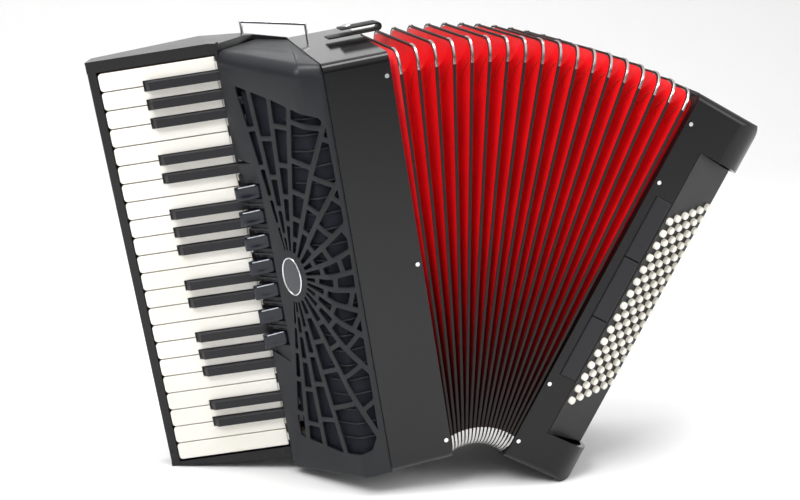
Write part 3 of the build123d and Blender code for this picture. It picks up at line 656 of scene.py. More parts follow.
class Places:
    """Where each side's own millimetres lie in the frame, read from the joints."""

    def __init__(self, joints: Sequence[dict], body: Body) -> None:
        """Works out the matrices of both sides.

        Args:
            joints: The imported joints.
            body: Sizes of the bodies.
        """
        named = {joint["name"]: joint for joint in joints}
        treble_up = -Vector(named["white_key_01_press"]["axis"])
        bass_up = Vector(named["strap_wheel_turn"]["axis"])
        pivot = Vector(named["bellows_fan"]["pos_m"])
        middle = Vector((body.pivot[0], body.depth / 2, body.pivot[1])) * MM
        turned = self._turned(treble_up)
        self.treble = Matrix.Translation(pivot - turned @ middle) @ turned @ Matrix.Scale(MM, 4)
        x, z = body.fan_point(1.0, 0.0, 0.0)
        origin = self.treble @ Vector((x, 0.0, z))
        self.bass = Matrix.Translation(origin) @ self._turned(bass_up) @ Matrix.Scale(MM, 4)

    @staticmethod
    def _turned(up: Vector) -> Matrix:
        """Rotation of a side whose keyboard direction is known; both sides keep the frame's Y.

        Args:
            up: Direction up the keyboard.

        Returns:
            The rotation.
        """
        deep = Vector((0.0, 1.0, 0.0))
        across = deep.cross(up.normalized())
        return Matrix((across, deep, up.normalized())).transposed().to_4x4()

    def of(self, side: Side) -> Matrix:
        """Matrix from a side's millimetres to the frame's metres."""
        return self.treble if side is Side.TREBLE else self.bass


# ---- meshes
class Shape:
    """Points and faces of a piece while it is worked out, in a side's own millimetres."""

    def __init__(self) -> None:
        """Starts without points."""
        self.points: list[Point3] = []
        self.faces: list[tuple[int, ...]] = []
        self.looks: list[int] = []
        self.shares: list[float] = []

    def add(
        self, points: Sequence[Point3], faces: Sequence[Sequence[int]], look: int = 0, share: float = 0.0
    ) -> None:
        """Adds loose points and the faces between them.

        Args:
            points: Points to add.
            faces: Places in those points.
            look: Index of the material.
            share: The points' share of the fan.
        """
        base = len(self.points)
        self.points.extend(tuple(point) for point in points)
        self.shares.extend([share] * len(points))
        for face in faces:
            self.faces.append(tuple(base + index for index in face))
            self.looks.append(look)

    def grid(
        self,
        rows: Sequence[Sequence[Point3]],
        round_rows: bool = False,
        round_columns: bool = False,
        look: int = 0,
    ) -> None:
        """Adds a net of four-sided faces.

        Args:
            rows: Rows of points, all of one length.
            round_rows: Whether each row closes on itself.
            round_columns: Whether the last row joins the first.
            look: Index of the material.
        """
        wide, tall = len(rows[0]), len(rows)
        faces = []
        for row in range(tall if round_columns else tall - 1):
            for column in range(wide if round_rows else wide - 1):
                after, over = (column + 1) % wide, (row + 1) % tall
                here, there = row * wide, over * wide
                faces.append((here + column, here + after, there + after, there + column))
        self.add([point for row in rows for point in row], faces, look)

    def block(self, low: Point3, high: Point3, look: int = 0) -> None:
        """Adds a box between two opposite corners.

        Args:
            low: Lowest corner.
            high: Highest corner.
            look: Index of the material.
        """
        corners = [(x, y, z) for z in (low[2], high[2]) for y in (low[1], high[1]) for x in (low[0], high[0])]
        faces = ((0, 2, 3, 1), (4, 5, 7, 6), (0, 1, 5, 4), (2, 6, 7, 3), (0, 4, 6, 2), (1, 3, 7, 5))
        self.add(corners, faces, look)

    def sweep(self, sections: Sequence[Sequence[Point3]], closed: bool = False, look: int = 0) -> None:
        """Adds a bar through closed sections, with its ends filled unless it closes on itself.

        Args:
            sections: Closed sections, in order.
            closed: Whether the ends join.
            look: Index of the material.
        """
        base = len(self.points)
        self.grid(sections, round_rows=True, round_columns=closed, look=look)
        if not closed:
            wide, last = len(sections[0]), base + len(sections[0]) * (len(sections) - 1)
            self.faces.append(tuple(base + index for index in reversed(range(wide))))
            self.faces.append(tuple(last + index for index in range(wide)))
            self.looks.extend((look, look))

    def lathe(self, profile: Sequence[Point2], steps: int = 24, look: int = 0) -> None:
        """Adds a turned shape about Z; the profile is radius and height, and starts and ends on the axis.

        Args:
            profile: Radius and height of each point.
            steps: Faces round the axis.
            look: Index of the material.
        """
        rings = []
        for radius, height in profile[1:-1]:
            angles = [2 * math.pi * step / steps for step in range(steps)]
            rings.append([(radius * math.cos(a), radius * math.sin(a), height) for a in angles])
        base = len(self.points)
        self.grid(rings, round_rows=True, look=look)
        self.add([(0, 0, profile[0][1]), (0, 0, profile[-1][1])], [])
        low, high, last = len(self.points) - 2, len(self.points) - 1, base + steps * (len(rings) - 1)
        for step in range(steps):
            after = (step + 1) % steps
            self.faces.append((low, base + after, base + step))
            self.faces.append((high, last + step, last + after))
            self.looks.extend((look, look))

    def mesh(self, name: str, weld: float = 0.001) -> bpy.types.Mesh:
        """Plain mesh of the shape, welded and with its faces pointing outwards.

        Args:
            name: Name of the mesh.
            weld: Distance that joins points.

        Returns:
            The mesh, in millimetres.
        """
        mesh = bpy.data.meshes.new(name)
        mesh.from_pydata(self.points, [], self.faces)
        mesh.polygons.foreach_set("material_index", self.looks)
        if any(self.shares):
            shares = mesh.attributes.new("share", "FLOAT", "POINT")
            shares.data.foreach_set("value", self.shares)
        work = bmesh.new()
        work.from_mesh(mesh)
        bmesh.ops.remove_doubles(work, verts=work.verts, dist=weld)
        bmesh.ops.recalc_face_normals(work, faces=work.faces)
        work.to_mesh(mesh)
        work.free()
        return mesh


class Builder:
    """Turns meshes into pieces that ride in the frame."""

    def __init__(self, places: Places) -> None:
        """Keeps the places of both sides."""
        self.places = places

    def piece(
        self,
        name: str,
        mesh: bpy.types.Mesh,
        finishes: Sequence[Finish],
        side: Side,
        slot: str,
        body: Optional[str] = None,
        smooth: float = 35.0,
    ) -> Model:
        """Makes a piece from a mesh in a side's own millimetres.

        Args:
            name: The piece's name.
            mesh: Its mesh, which is moved into the frame.
            finishes: Materials by the faces' index.
            side: The side whose millimetres the mesh is in.
            slot: The record's material slot that it belongs to; not used.
            body: The body that it rides on; None leaves it unattached.
            smooth: Edges sharper than this many degrees stay sharp.

        Returns:
            The object, at the origin, unturned and unscaled.
        """
        mesh.transform(self.places.of(side))
        mesh.name = name
        mesh.materials.clear()
        for finish in finishes:
            mesh.materials.append(finish)
        mesh.shade_smooth()
        mesh.set_sharp_from_angle(angle=math.radians(smooth))
        made = bpy.data.objects.new(name, mesh)
        bpy.context.scene.collection.objects.link(made)
        if body:
            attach(made, body)
        log.info("%s: %d faces", name, len(mesh.polygons))
        return made

    @staticmethod
    def worked(mesh: bpy.types.Mesh, *steps: tuple[str, dict]) -> bpy.types.Mesh:
        """Runs modifiers on a mesh and gives the result as a plain mesh.

        Args:
            mesh: The mesh to work on.
            steps: Pairs of a modifier's type and its settings, in order.

        Returns:
            The worked mesh.
        """
        host = bpy.data.objects.new("host", mesh)
        bpy.context.scene.collection.objects.link(host)
        for kind, settings in steps:
            modifier = host.modifiers.new(kind.lower(), kind)
            for key, value in settings.items():
                setattr(modifier, key, value)
        depsgraph = bpy.context.evaluated_depsgraph_get()
        result = bpy.data.meshes.new_from_object(host.evaluated_get(depsgraph), depsgraph=depsgraph)
        bpy.data.objects.remove(host)
        return result

    @staticmethod
    def template(shape: Shape, name: str) -> Model:
        """Object that a repeat tree copies; it is removed once the tree has run.

        Args:
            shape: Shape to copy.
            name: Name of the object.

        Returns:
            The object, in the scene.
        """
        mesh = shape.mesh(name)
        mesh.shade_smooth()
        made = bpy.data.objects.new(name, mesh)
        bpy.context.scene.collection.objects.link(made)
        return made


def eased(width: float, angle: float) -> tuple[str, dict[str, Value]]:
    """Bevel that rounds the edges sharper than an angle in degrees."""
    limit = {"limit_method": "ANGLE", "angle_limit": math.radians(angle)}
    return "BEVEL", {"width": width, "segments": 2, **limit}


def dress(node: str, finish: Finish) -> None:
    """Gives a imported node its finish."""
    for slot in frame["nodes"][node].material_slots:
        slot.material = finish


def names(start: str) -> list[str]:
    """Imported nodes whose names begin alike."""
    return sorted(name for name in frame["nodes"] if name.startswith(start))


# ---- repeat trees
def button_field() -> RepeatGraph:
    """Rows of a piece, each shifted along by the stagger; Z of the piece points out of the board.

    Returns:
        The finished tree.
    """
    graph = RepeatGraph("button_field")
    piece = graph.piece()
    pitch, row_pitch = graph.size("Pitch"), graph.size("Row Pitch")
    stagger, first, edge = graph.size("Stagger"), graph.size("First"), graph.size("Edge")
    vector = "ShaderNodeCombineXYZ"
    start = graph.node(vector, None, {"X": edge, "Z": first})
    aside = graph.node(vector, None, {"X": row_pitch, "Z": stagger})
    along = graph.node(vector, None, {"Z": pitch})
    line = "GeometryNodeMeshLine"
    count = graph.size("Rows", "NodeSocketInt")
    rows = graph.node(line, None, {"Count": count, "Start Location": start, "Offset": aside})
    column = graph.node(line, None, {"Count": graph.size("Columns", "NodeSocketInt"), "Offset": along})
    places = graph.copies(rows, column)
    real = graph.node("GeometryNodeRealizeInstances", None, {"Geometry": places})
    outwards = (math.pi / 2, 0.0, 0.0)
    copies = graph.copies(real, piece, outwards)
    return graph.close(copies)


def tab_row() -> RepeatGraph:
    """Line of rocker tabs along Z, the first of them pressed.

    Returns:
        The finished tree.
    """
    graph = RepeatGraph("tab_row")
    piece = graph.piece()
    index = graph.node("GeometryNodeInputIndex")
    first = graph.node("ShaderNodeMath", {"operation": "LESS_THAN"}, {0: index, 1: 0.5})
    tilt = graph.node("ShaderNodeCombineXYZ", None, {"Z": first * graph.size("Pressed Angle")})
    along = graph.node("ShaderNodeCombineXYZ", None, {"Z": graph.size("Pitch")})
    start = graph.size("Start", "NodeSocketVector")
    sockets = {"Count": graph.size("Count", "NodeSocketInt"), "Start Location": start, "Offset": along}
    line = graph.node("GeometryNodeMeshLine", None, sockets)
    rotation = graph.node("FunctionNodeEulerToRotation", None, {"Euler": tilt})
    copies = graph.copies(line, piece, rotation)
    return graph.close(copies)


def fold_row() -> RepeatGraph:
    """Copies of a fold's piece through the bellows' fan; each copy keeps its share of the fan.

    Returns:
        The finished tree.
    """
    graph = RepeatGraph("fold_row")
    piece = graph.piece()
    count = graph.size("Folds", "NodeSocketInt")
    inset, fan, closed = graph.size("End Share"), graph.size("Fan Angle"), graph.size("Closed Width")
    pivot_x, pivot_z = graph.size("Pivot X"), graph.size("Pivot Z")
    index = graph.node("GeometryNodeInputIndex")
    share = inset + index * (1.0 - 2.0 * inset) / (count - 1.0)
    angle = share * fan
    across = closed * share - pivot_x
    x = pivot_x + across * angle.cosine() - pivot_z * angle.sine()
    z = pivot_z - pivot_z * angle.cosine() - across * angle.sine()
    place = graph.node("ShaderNodeCombineXYZ", None, {"X": x, "Z": z})
    points = graph.node("GeometryNodePoints", None, {"Count": count, "Position": place}, "Points")
    turn = graph.node("ShaderNodeCombineXYZ", None, {"Y": angle})
    rotation = graph.node("FunctionNodeEulerToRotation", None, {"Euler": turn})
    kept = graph.node(
        "GeometryNodeStoreNamedAttribute",
        {"data_type": "FLOAT", "domain": "POINT"},
        {"Geometry": points, "Name": "share", "Value": share},
    )
    copies = graph.copies(kept, piece, rotation)
    return graph.close(copies)


def path_copies(name: str) -> tuple[RepeatGraph, Socket]:
    """Start of a tree that follows the host's own line; gives the tree and the line as a curve.

    Args:
        name: Name of the tree.

    Returns:
        The tree and the curve.
    """
    graph = RepeatGraph(name)
    own = graph.size("Geometry", "NodeSocketGeometry")
    return graph, graph.node("GeometryNodeMeshToCurve", None, {"Mesh": own})


def rib_stack() -> RepeatGraph:
    """Thin round ribs along the host's line, one above another.

    Returns:
        The finished tree.
    """
    graph, line = path_copies("rib_stack")
    ring = {"Resolution": 6, "Radius": graph.size("Rib Radius")}
    profile = graph.node("GeometryNodeCurvePrimitiveCircle", None, ring, "Curve")
    sockets = {"Curve": line, "Profile Curve": profile, "Fill Caps": True}
    rib = graph.node("GeometryNodeCurveToMesh", None, sockets)
    along = graph.node("ShaderNodeCombineXYZ", None, {"Z": graph.size("Pitch")})
    stack = {"Count": graph.size("Count", "NodeSocketInt"), "Offset": along}
    places = graph.node("GeometryNodeMeshLine", None, stack)
    return graph.close(graph.copies(places, rib))


def stitch_line() -> RepeatGraph:
    """Stitches along the host's line at an even pitch; X of the piece follows the line.

    Returns:
        The finished tree.
    """
    graph, line = path_copies("stitch_line")
    piece = graph.piece()
    spaced = graph.node(
        "GeometryNodeResampleCurve", {"mode": "LENGTH"}, {"Curve": line, "Length": graph.size("Pitch")}
    )
    tangent = graph.node("GeometryNodeInputTangent")
    aligned = graph.node("FunctionNodeAlignRotationToVector", {"axis": "X"}, {"Vector": tangent})
    copies = graph.copies(spaced, piece, aligned)
    return graph.close(copies)


# ---- keyboard
@dataclass
class Keyboard:
    """White and black keys in their bed."""

    body: Body
    places: Places
    ivory: Colour = (0.80, 0.79, 0.755)
    charcoal: Colour = (0.012, 0.012, 0.014)
    bed: Colour = (0.008, 0.008, 0.009)

    def dress(self) -> None:
        """Finishes the keys and the bed."""
        yaw = math.radians(self.body.key_yaw)
        up = self.places.treble.to_3x3().normalized() @ Vector((-math.sin(yaw), -math.cos(yaw), 0.0))
        line = self.places.treble @ Vector((*self.body.key_line, 0.0))
        white = KeyTop("key_ivory", self.ivory, up.normalized(), line).make()
        black = Lacquer("key_charcoal", self.charcoal, gloss=0.3, spread=0.14, coat=0.12, ripple=0.12).make()
        for node in names("white_key"):
            dress(node, white)
        for node in names("black_key"):
            dress(node, black)
        dress("keyboard_bed", Lacquer("bed_lacquer", self.bed, gloss=0.24, coat=0.35).make())
        log.info("keyboard: %d keys", len(names("white_key")) + len(names("black_key")))


# ---- grille
@dataclass(frozen=True)
class CoverPlan:
    """Plan of the grille cover: a forward strip, a round corner and a slanted wall that ends at the keys."""

    body: Body
    case_x: float = -65.3
    front_y: float = 1.2
    strip: float = 27.0
    radius: float = 12.0
    lip_height: float = 8.0
    slope: float = 0.23
    back: Point2 = (-98.5, 172.0)
    back_case_y: float = 178.0
    bends: int = 10

    def lip(self) -> Point2:
        """Edge of the slanted wall over the keys.

        Returns:
            X and Y of the edge.
        """
        yaw = math.radians(self.body.key_yaw)
        x, y = self.body.key_line
        return x - self.lip_height * math.sin(yaw), y - self.lip_height * math.cos(yaw)

    def lengths(self) -> tuple[float, float, float, float]:
        """Turn of the corner, then the lengths of the strip, the corner and the slanted wall.

        Returns:
            Turn in radians, then the three lengths.
        """
        x, y = self.lip()
        dx, dy = self.case_x - self.strip - x, y - self.front_y
        turn = math.atan2(dy, dx)
        tangent = self.radius * math.tan(turn / 2)
        return turn, self.strip - tangent, self.radius * turn, math.hypot(dx, dy) - tangent

    def total(self) -> float:
        """Length of the whole front, unrolled."""
        return sum(self.lengths()[1:])

    def stations(self) -> list[float]:
        """Distances at which the sheet bends, with both ends.

        Returns:
            Distances from the case.
        """
        _, strip, corner, _ = self.lengths()
        bent = [strip + corner * step / self.bends for step in range(self.bends + 1)]
        return [0.0, *bent, self.total()]

    def at(self, along: float, inward: float = 0.0) -> Point2:
        """Point of the plan at a distance from the case, moved into the cover.

        Args:
            along: Distance from the case's edge.
            inward: Distance behind the front.

        Returns:
            X and Y of the point.
        """
        turn, strip, corner, _ = self.lengths()
        angle = min(max((along - strip) / self.radius, 0.0), turn)
        centre_x, centre_y = self.case_x - strip, self.front_y + self.radius
        out_x, out_y = -math.sin(angle), -math.cos(angle)
        x, y = centre_x + self.radius * out_x, centre_y + self.radius * out_y
        run = min(along - strip, 0.0) + max(along - strip - corner, 0.0)
        x, y = x - math.cos(angle) * run, y + math.sin(angle) * run
        return x - out_x * inward, y - out_y * inward

    def top(self, x: float, y: float) -> float:
        """Height of the sloping top."""
        return self.body.height - 1.0 + self.slope * (-64.0 - x) + self.body.rise / self.body.depth * y

    def spot(self, along: float, z: float, lift: float = 0.0) -> Point3:
        """Point on the front at a distance and height, lifted out of the surface."""
        x, y = self.at(along, -lift)
        return x, y, z


@dataclass(frozen=True)
class Sunburst:
    """Openings of the grille: slits between spokes that spread from the badge, crossed by staggered bars."""

    centre: Point2 = (77.0, 216.0)
    border: tuple[Point2, ...] = (
        (7.0, 48.0), (16.0, 30.0), (30.0, 26.5), (54.0, 26.5), (106.0, 39.0), (110.0, 200.0),
        (106.0, 411.0), (62.0, 396.0), (12.0, 375.0), (6.5, 366.0), (4.5, 236.0),
    )
    badge: Point2 = (16.0, 25.0)
    spokes: tuple[float, ...] = (
        -9.6, -4.0, 3.6, 11.5, 24.5, 38.0, 55.0, 72.0, 88.0, 103.0, 118.0, 132.0,
        145.0, 158.0, 171.5, 179.5, 186.4, 191.5,
    )
    rings: tuple[float, ...] = (29.0, 51.0, 79.0, 111.0, 150.0, 260.0)
    stagger: tuple[float, ...] = (3.0, -8.0, 5.0, 12.0)
    bar: float = 5.2
    bar_share: float = 0.42
    cross_bar: float = 4.8
    round_off: float = 1.5
    smallest: float = 9.0

    def _corner(self, angle: float, radius: float) -> Point2:
        """Point on a ray from the badge; angles are from straight up towards the case."""
        return self.centre[0] - radius * math.sin(angle), self.centre[1] + radius * math.cos(angle)

    def _slit(self, low: float, high: float, near: float, far: float) -> list[Point2]:
        """Opening between two spokes and two radii.

        Args:
            low: First angle in radians.
            high: Second angle in radians.
            near: Inner radius.
            far: Outer radius.

        Returns:
            The four corners.
        """
        points = []
        for radius in (near, far):
            spoke = min(self.bar, self.bar_share * (high - low) * radius) / radius / 2
            pair = [self._corner(low + spoke, radius), self._corner(high - spoke, radius)]
            points.extend(pair if radius == near else reversed(pair))
        return points

    @staticmethod
    def _clip(shape: Sequence[Point2], border: Sequence[Point2]) -> list[Point2]:
        """Part of a shape inside a convex border that runs anticlockwise.

        Args:
            shape: Outline to cut.
            border: Convex border.

        Returns:
            Outline of what is left.
        """
        result = list(shape)
        for a, b in zip(border, [*border[1:], border[0]]):
            def side(p: Point2) -> float:
                """Positive on the inner side of the edge from a to b."""
                return (b[0] - a[0]) * (p[1] - a[1]) - (b[1] - a[1]) * (p[0] - a[0])

            kept = []
            for p, q in zip(result, [*result[1:], *result[:1]]):
                if side(p) >= 0:
                    kept.append(p)
                if (side(p) >= 0) != (side(q) >= 0):
                    share = side(p) / (side(p) - side(q))
                    kept.append((p[0] + (q[0] - p[0]) * share, p[1] + (q[1] - p[1]) * share))
            result = kept
        return result

    @staticmethod
    def area(shape: Sequence[Point2]) -> float:
        """Area of a polygon, positive when it runs anticlockwise."""
        pairs = zip(shape, [*shape[1:], *shape[:1]])
        return sum(p[0] * q[1] - q[0] * p[1] for p, q in pairs) / 2

    def _softened(self, shape: Sequence[Point2]) -> list[Point2]:
        """The shape with each corner cut round.

        Args:
            shape: Outline with sharp corners.

        Returns:
            Outline with round corners.
        """
        points = []
        for before, here, after in zip([shape[-1], *shape[:-1]], shape, [*shape[1:], shape[0]]):
            start, end = Vector(before) - Vector(here), Vector(after) - Vector(here)
            if start.length < 0.8 or end.length < 0.8:
                points.append(here)
                continue
            cut = min(self.round_off, start.length * 0.4, end.length * 0.4)
            first, last = Vector(here) + start.normalized() * cut, Vector(here) + end.normalized() * cut
            for share in (0.0, 0.33, 0.67, 1.0):
                spot = first * (1 - share) ** 2 + Vector(here) * 2 * share * (1 - share) + last * share**2
                points.append((spot.x, spot.y))
        return points

    def openings(self) -> list[list[Point2]]:
        """Outlines of all openings.

        Returns:
            The closed outlines.
        """
        found = []
        for place, (low, high) in enumerate(zip(self.spokes, self.spokes[1:])):
            low, high = math.radians(low), math.radians(high)
            middle = (low + high) / 2
            across, up = math.sin(middle) / self.badge[0], math.cos(middle) / self.badge[1]
            start = 1 / math.hypot(across, up)
            shift = self.stagger[place % len(self.stagger)]
            edges = [start, *[ring + shift for ring in self.rings if ring + shift > start + 12]]
            for near, far in zip(edges, edges[1:]):
                slit = self._slit(low, high, near + self.cross_bar / 2, far - self.cross_bar / 2)
                slit = self._clip(slit if self.area(slit) > 0 else slit[::-1], self.border)
                if len(slit) > 2 and self.area(slit) > self.smallest:
                    found.append(self._softened(slit))
        return found


@dataclass
class Grille:
    """Cover over the key levers: pierced front, sloping top, cloth, ribs and badge."""

    body: Body
    plan: CoverPlan
    pattern: Sunburst = field(default_factory=Sunburst)
    wall: float = 2.0
    edge: float = 13.0
    foot_edge: float = 3.0
    edge_steps: int = 7
    comb_ends: tuple[float, float] = (4.0, 444.0)
    comb_gap: float = 6.2
    comb_section: tuple[Point2, ...] = ((0.2, 1.3), (0.2, 7.6), (-1.8, 7.0), (-1.8, 1.3))
    recess: tuple[Point2, ...] = (
        (0.0, 133.0), (101.5, 122.0), (97.5, 128.0), (97.5, 324.0), (101.5, 331.0), (0.0, 339.0)
    )
    recess_depth: float = 3.4
    recess_wall: float = 3.5
    tab_space: float = 8.25
    tabs: tuple[float, float, int] = (147.0, 26.0, 7)
    cloth_depth: float = 5.2
    colour: Colour = (0.013, 0.014, 0.016)

    def _tab_heights(self) -> list[float]:
        """Middle height of each register tab."""
        first, pitch, count = self.tabs
        return [first + pitch * index for index in range(count)]

    def _sheet_outline(self) -> list[Point2]:
        """Outline of the pierced sheet, unrolled, with the recess for the register tabs.

        Returns:
            Closed outline of the sheet.
        """
        low = [(t, self.foot_edge) for t in self.plan.stations()]
        lip = self.plan.total()
        side = [(along or lip, height) for along, height in self.recess]
        high = []
        for t in reversed(self.plan.stations()):
            high.append((t, self.plan.top(*self.plan.at(t, self.edge)) - self.edge))
        return low + side + high

    def _pierced(self) -> tuple[list[Point2], list[tuple[int, ...]]]:
        """Triangles of the sheet between its outline and the openings.

        Returns:
            Points, and faces as places in them.
        """
        outline, holes = self._sheet_outline(), self.pattern.openings()
        points, edges = [], []
        for loop in (outline, *holes):
            base, size = len(points), len(loop)
            points.extend(Vector(point) for point in loop)
            edges.extend((base + step, base + (step + 1) % size) for step in range(size))
        found, _, faces, _, _, _ = delaunay_2d_cdt(points, edges, [], 0, 1e-5)
        kept = []
        for face in faces:
            middle = sum((found[index] for index in face), Vector((0.0, 0.0))) / len(face)
            if self._inside(middle, outline) and not any(self._inside(middle, hole) for hole in holes):
                kept.append(tuple(face))
        return [tuple(point) for point in found], kept

    @staticmethod
    def _inside(point: Vector, loop: Sequence[Point2]) -> bool:
        """Whether a point lies inside a closed outline.

        Args:
            point: Point to test.
            loop: Closed outline.

        Returns:
            True inside.
        """
        crossed = False
        for a, b in zip(loop, [*loop[1:], loop[0]]):
            if (a[1] > point.y) != (b[1] > point.y):
                crossed ^= point.x < a[0] + (point.y - a[1]) / (b[1] - a[1]) * (b[0] - a[0])
        return crossed

    def _front(self) -> bpy.types.Mesh:
        """Flat pierced sheet, cut at each bend, then bent round the plan.

        Returns:
            The bent sheet, without thickness.
        """
        points, faces = self._pierced()
        flat = bpy.data.meshes.new("grille_sheet")
        flat.from_pydata([(x, y, 0.0) for x, y in points], [], faces)
        work = bmesh.new()
        work.from_mesh(flat)
        for station in self.plan.stations()[1:-1]:
            everything = [*work.verts, *work.edges, *work.faces]
            place, facing = (station, 0, 0), (1, 0, 0)
            bmesh.ops.bisect_plane(work, geom=everything, dist=1e-4, plane_co=place, plane_no=facing)
        for vertex in work.verts:
            vertex.co = Vector(self.plan.spot(vertex.co.x, vertex.co.y))
        work.to_mesh(flat)
        work.free()
        return flat

    def _ends(self, shape: Shape) -> None:
        """Rounded top and foot with their flat plates.

        Args:
            shape: Shape to add to.
        """
        stations = self.plan.stations()
        for top in (True, False):
            radius = self.edge if top else self.foot_edge
            rows = []
            for step in range(self.edge_steps + 1):
                angle = math.pi / 2 * step / self.edge_steps
                row = []
                for t in stations:
                    x, y = self.plan.at(t, radius * (1 - math.cos(angle)))
                    if top:
                        flat = self.plan.at(t, self.edge)
                        base = self.plan.top(*flat) - radius
                        rise = radius * math.sin(angle)
                        row.append((x, y, base + rise))
                    else:
                        row.append((x, y, radius - radius * math.sin(angle)))
                rows.append(row)
            shape.grid(rows)
            back = [self.plan.back, (self.plan.case_x, self.plan.back_case_y)]
            plate = list(rows[-1]) + [(x, y, self.plan.top(x, y) if top else 0.0) for x, y in back]
            shape.add(plate, [tuple(range(len(plate)))])

    def _comb(self, shape: Shape) -> None:
        """Short wall under the lip, open where the black keys pass.

        Args:
            shape: Shape to add to.
        """
        yaw = math.radians(self.body.key_yaw)
        along, over = (-math.cos(yaw), math.sin(yaw)), (-math.sin(yaw), -math.cos(yaw))
        origin = self.body.key_line
        heights = sorted(self._black_heights(len(names("black_key"))))
        gaps = [edge for height in heights for edge in (height - self.comb_gap, height + self.comb_gap)]
        edges = [self.comb_ends[0], *gaps, self.comb_ends[1]]
        for low, high in zip(edges[::2], edges[1::2]):
            if high - low < 2:
                continue
            ring = []
            for u, v in self.comb_section:
                ring.append((origin[0] + along[0] * u + over[0] * v, origin[1] + along[1] * u + over[1] * v))
            shape.sweep([[(x, y, z) for x, y in ring] for z in (low, high)])

    @staticmethod
    def _black_heights(count: int) -> list[float]:
        """Middle height of each black key, from the keys' own rule.

        Args:
            count: How many black keys there are.

        Returns:
            Heights from the top key down.
        """
        base, pitch, whites = 22.5, 19.0, 22
        places = [i for i in range(whites - 1) if i % 7 in (0, 1, 2, 4, 5)]
        return [base + (whites - 1 - i) * pitch for i in places[:count]]

    def build(self, builder: Builder) -> None:
        """Makes the cover and all that sits in it.

        Args:
            builder: Maker of the pieces.
        """
        satin = Lacquer(
            "grille_satin", self.colour, gloss=0.34, spread=0.12, coat=0.1, ripple=0.16, grain=1100.0
        ).make()
        ends = Shape()
        self._ends(ends)
        work = bmesh.new()
        work.from_mesh(self._front())
        work.from_mesh(ends.mesh("grille_ends"))
        bmesh.ops.remove_doubles(work, verts=work.verts, dist=0.02)
        bmesh.ops.recalc_face_normals(work, faces=work.faces)
        shell = bpy.data.meshes.new("grille_shell")
        work.to_mesh(shell)
        work.free()
        shell = builder.worked(
            shell,
            ("SOLIDIFY", {"thickness": self.wall, "offset": -1.0, "use_even_offset": True}),
            eased(0.45, 50),
        )
        cover = builder.piece("grille_cover", shell, [satin], Side.TREBLE, "grille_satin", "treble", smooth=40)
        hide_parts("grille")
        comb = Shape()
        self._comb(comb)
        builder.piece("grille_comb", comb.mesh("comb"), [satin], Side.TREBLE, "grille_satin", "treble")
        self._cloth(builder)
        self._ribs(builder, satin)
        self._badge(builder)
        self._well(builder, satin)

    def _cloth(self, builder: Builder) -> None:
        """Stretched cloth behind the openings.

        Args:
            builder: Maker of the pieces.
        """
        low, high, start, end = 16.0, 404.0, 3.0, 104.0
        steps_t, steps_z = 44, 60
        shape = Shape()
        rows = []
        for row in range(steps_z + 1):
            z = low + (high - low) * row / steps_z
            rows.append(
                [
                    self.plan.spot(start + (end - start) * step / steps_t, z, -self.cloth_depth)
                    for step in range(steps_t + 1)
                ]
            )
        shape.grid(rows)
        mesh = shape.mesh("cloth")
        layout = mesh.uv_layers.new(name="threads")
        for loop in mesh.loops:
            place = loop.vertex_index
            column, row = place % (steps_t + 1), place // (steps_t + 1)
            layout.data[loop.index].uv = (
                (end - start) * MM * column / steps_t,
                (high - low) * MM * row / steps_z,
            )
        mesh = builder.worked(mesh, ("SOLIDIFY", {"thickness": 0.5, "offset": -1.0}))
        weave = OpenWeave("grille_cloth", (0.0035, 0.0040, 0.0065)).make()
        cloth = builder.piece("grille_cloth", mesh, [weave], Side.TREBLE, "bellows_cloth", "treble")

    def _ribs(self, builder: Builder, satin: Finish) -> None:
        """Thin ribs across the inside of the openings nearest the case.

        Args:
            builder: Maker of the pieces.
            satin: Finish of the cover.
        """
        line = Shape()
        stations = [5.0 + 2.5 * step for step in range(20)]
        line.points = [self.plan.spot(t, 44.0, -3.4) for t in stations]
        mesh = bpy.data.meshes.new("rib_line")
        mesh.from_pydata(line.points, [(i, i + 1) for i in range(len(stations) - 1)], [])
        host = bpy.data.objects.new("rib_line", mesh)
        sizes = {"Rib Radius": 0.75, "Pitch": 15.8, "Count": 22, "Finish": satin}
        ribs = rib_stack().grow(sizes, host)
        builder.piece("grille_ribs", ribs, [satin], Side.TREBLE, "grille_satin", "treble", smooth=80)

    def _badge(self, builder: Builder) -> None:
        """Plain oval badge: a raised rim round a dark domed face.

        Args:
            builder: Maker of the pieces.
        """
        t0, z0 = self.pattern.centre
        half_t, half_z, rim = 11.4, 19.4, 0.9
        face, ring = Shape(), Shape()
        steps, levels = 64, 6
        rows = []
        for level in range(levels + 1):
            share = level / levels
            lift = 0.25 + 0.7 * (1 - share**2)
            rows.append(self._oval(t0, z0, max(share, 0.02) * half_t, max(share, 0.02) * half_z, lift, steps))
        face.grid(rows, round_rows=True)
        face.add(rows[0], [tuple(range(steps))])
        face.grid([rows[-1], self._oval(t0, z0, half_t, half_z, -0.4, steps)], round_rows=True)
        sections = []
        for step in range(steps):
            angle = 2 * math.pi * step / steps
            section = []
            for turn in range(8):
                bend = 2 * math.pi * turn / 8
                wide = rim * math.cos(bend)
                t = t0 + (half_t + wide) * math.cos(angle)
                z = z0 + (half_z + wide) * math.sin(angle)
                section.append(self.plan.spot(t, z, 0.5 + rim * math.sin(bend)))
            sections.append(section)
        ring.sweep(sections, closed=True)
        bright = PolishedMetal("badge_rim", (0.78, 0.79, 0.80), gloss=0.2).make()
        dark = Lacquer("badge_face", (0.045, 0.047, 0.052), gloss=0.2).make()
        builder.piece("badge_face", face.mesh("face"), [dark], Side.TREBLE, "grille_satin", "treble")
        builder.piece("badge_rim", ring.mesh("rim"), [bright], Side.TREBLE, "chrome", "treble", smooth=70)

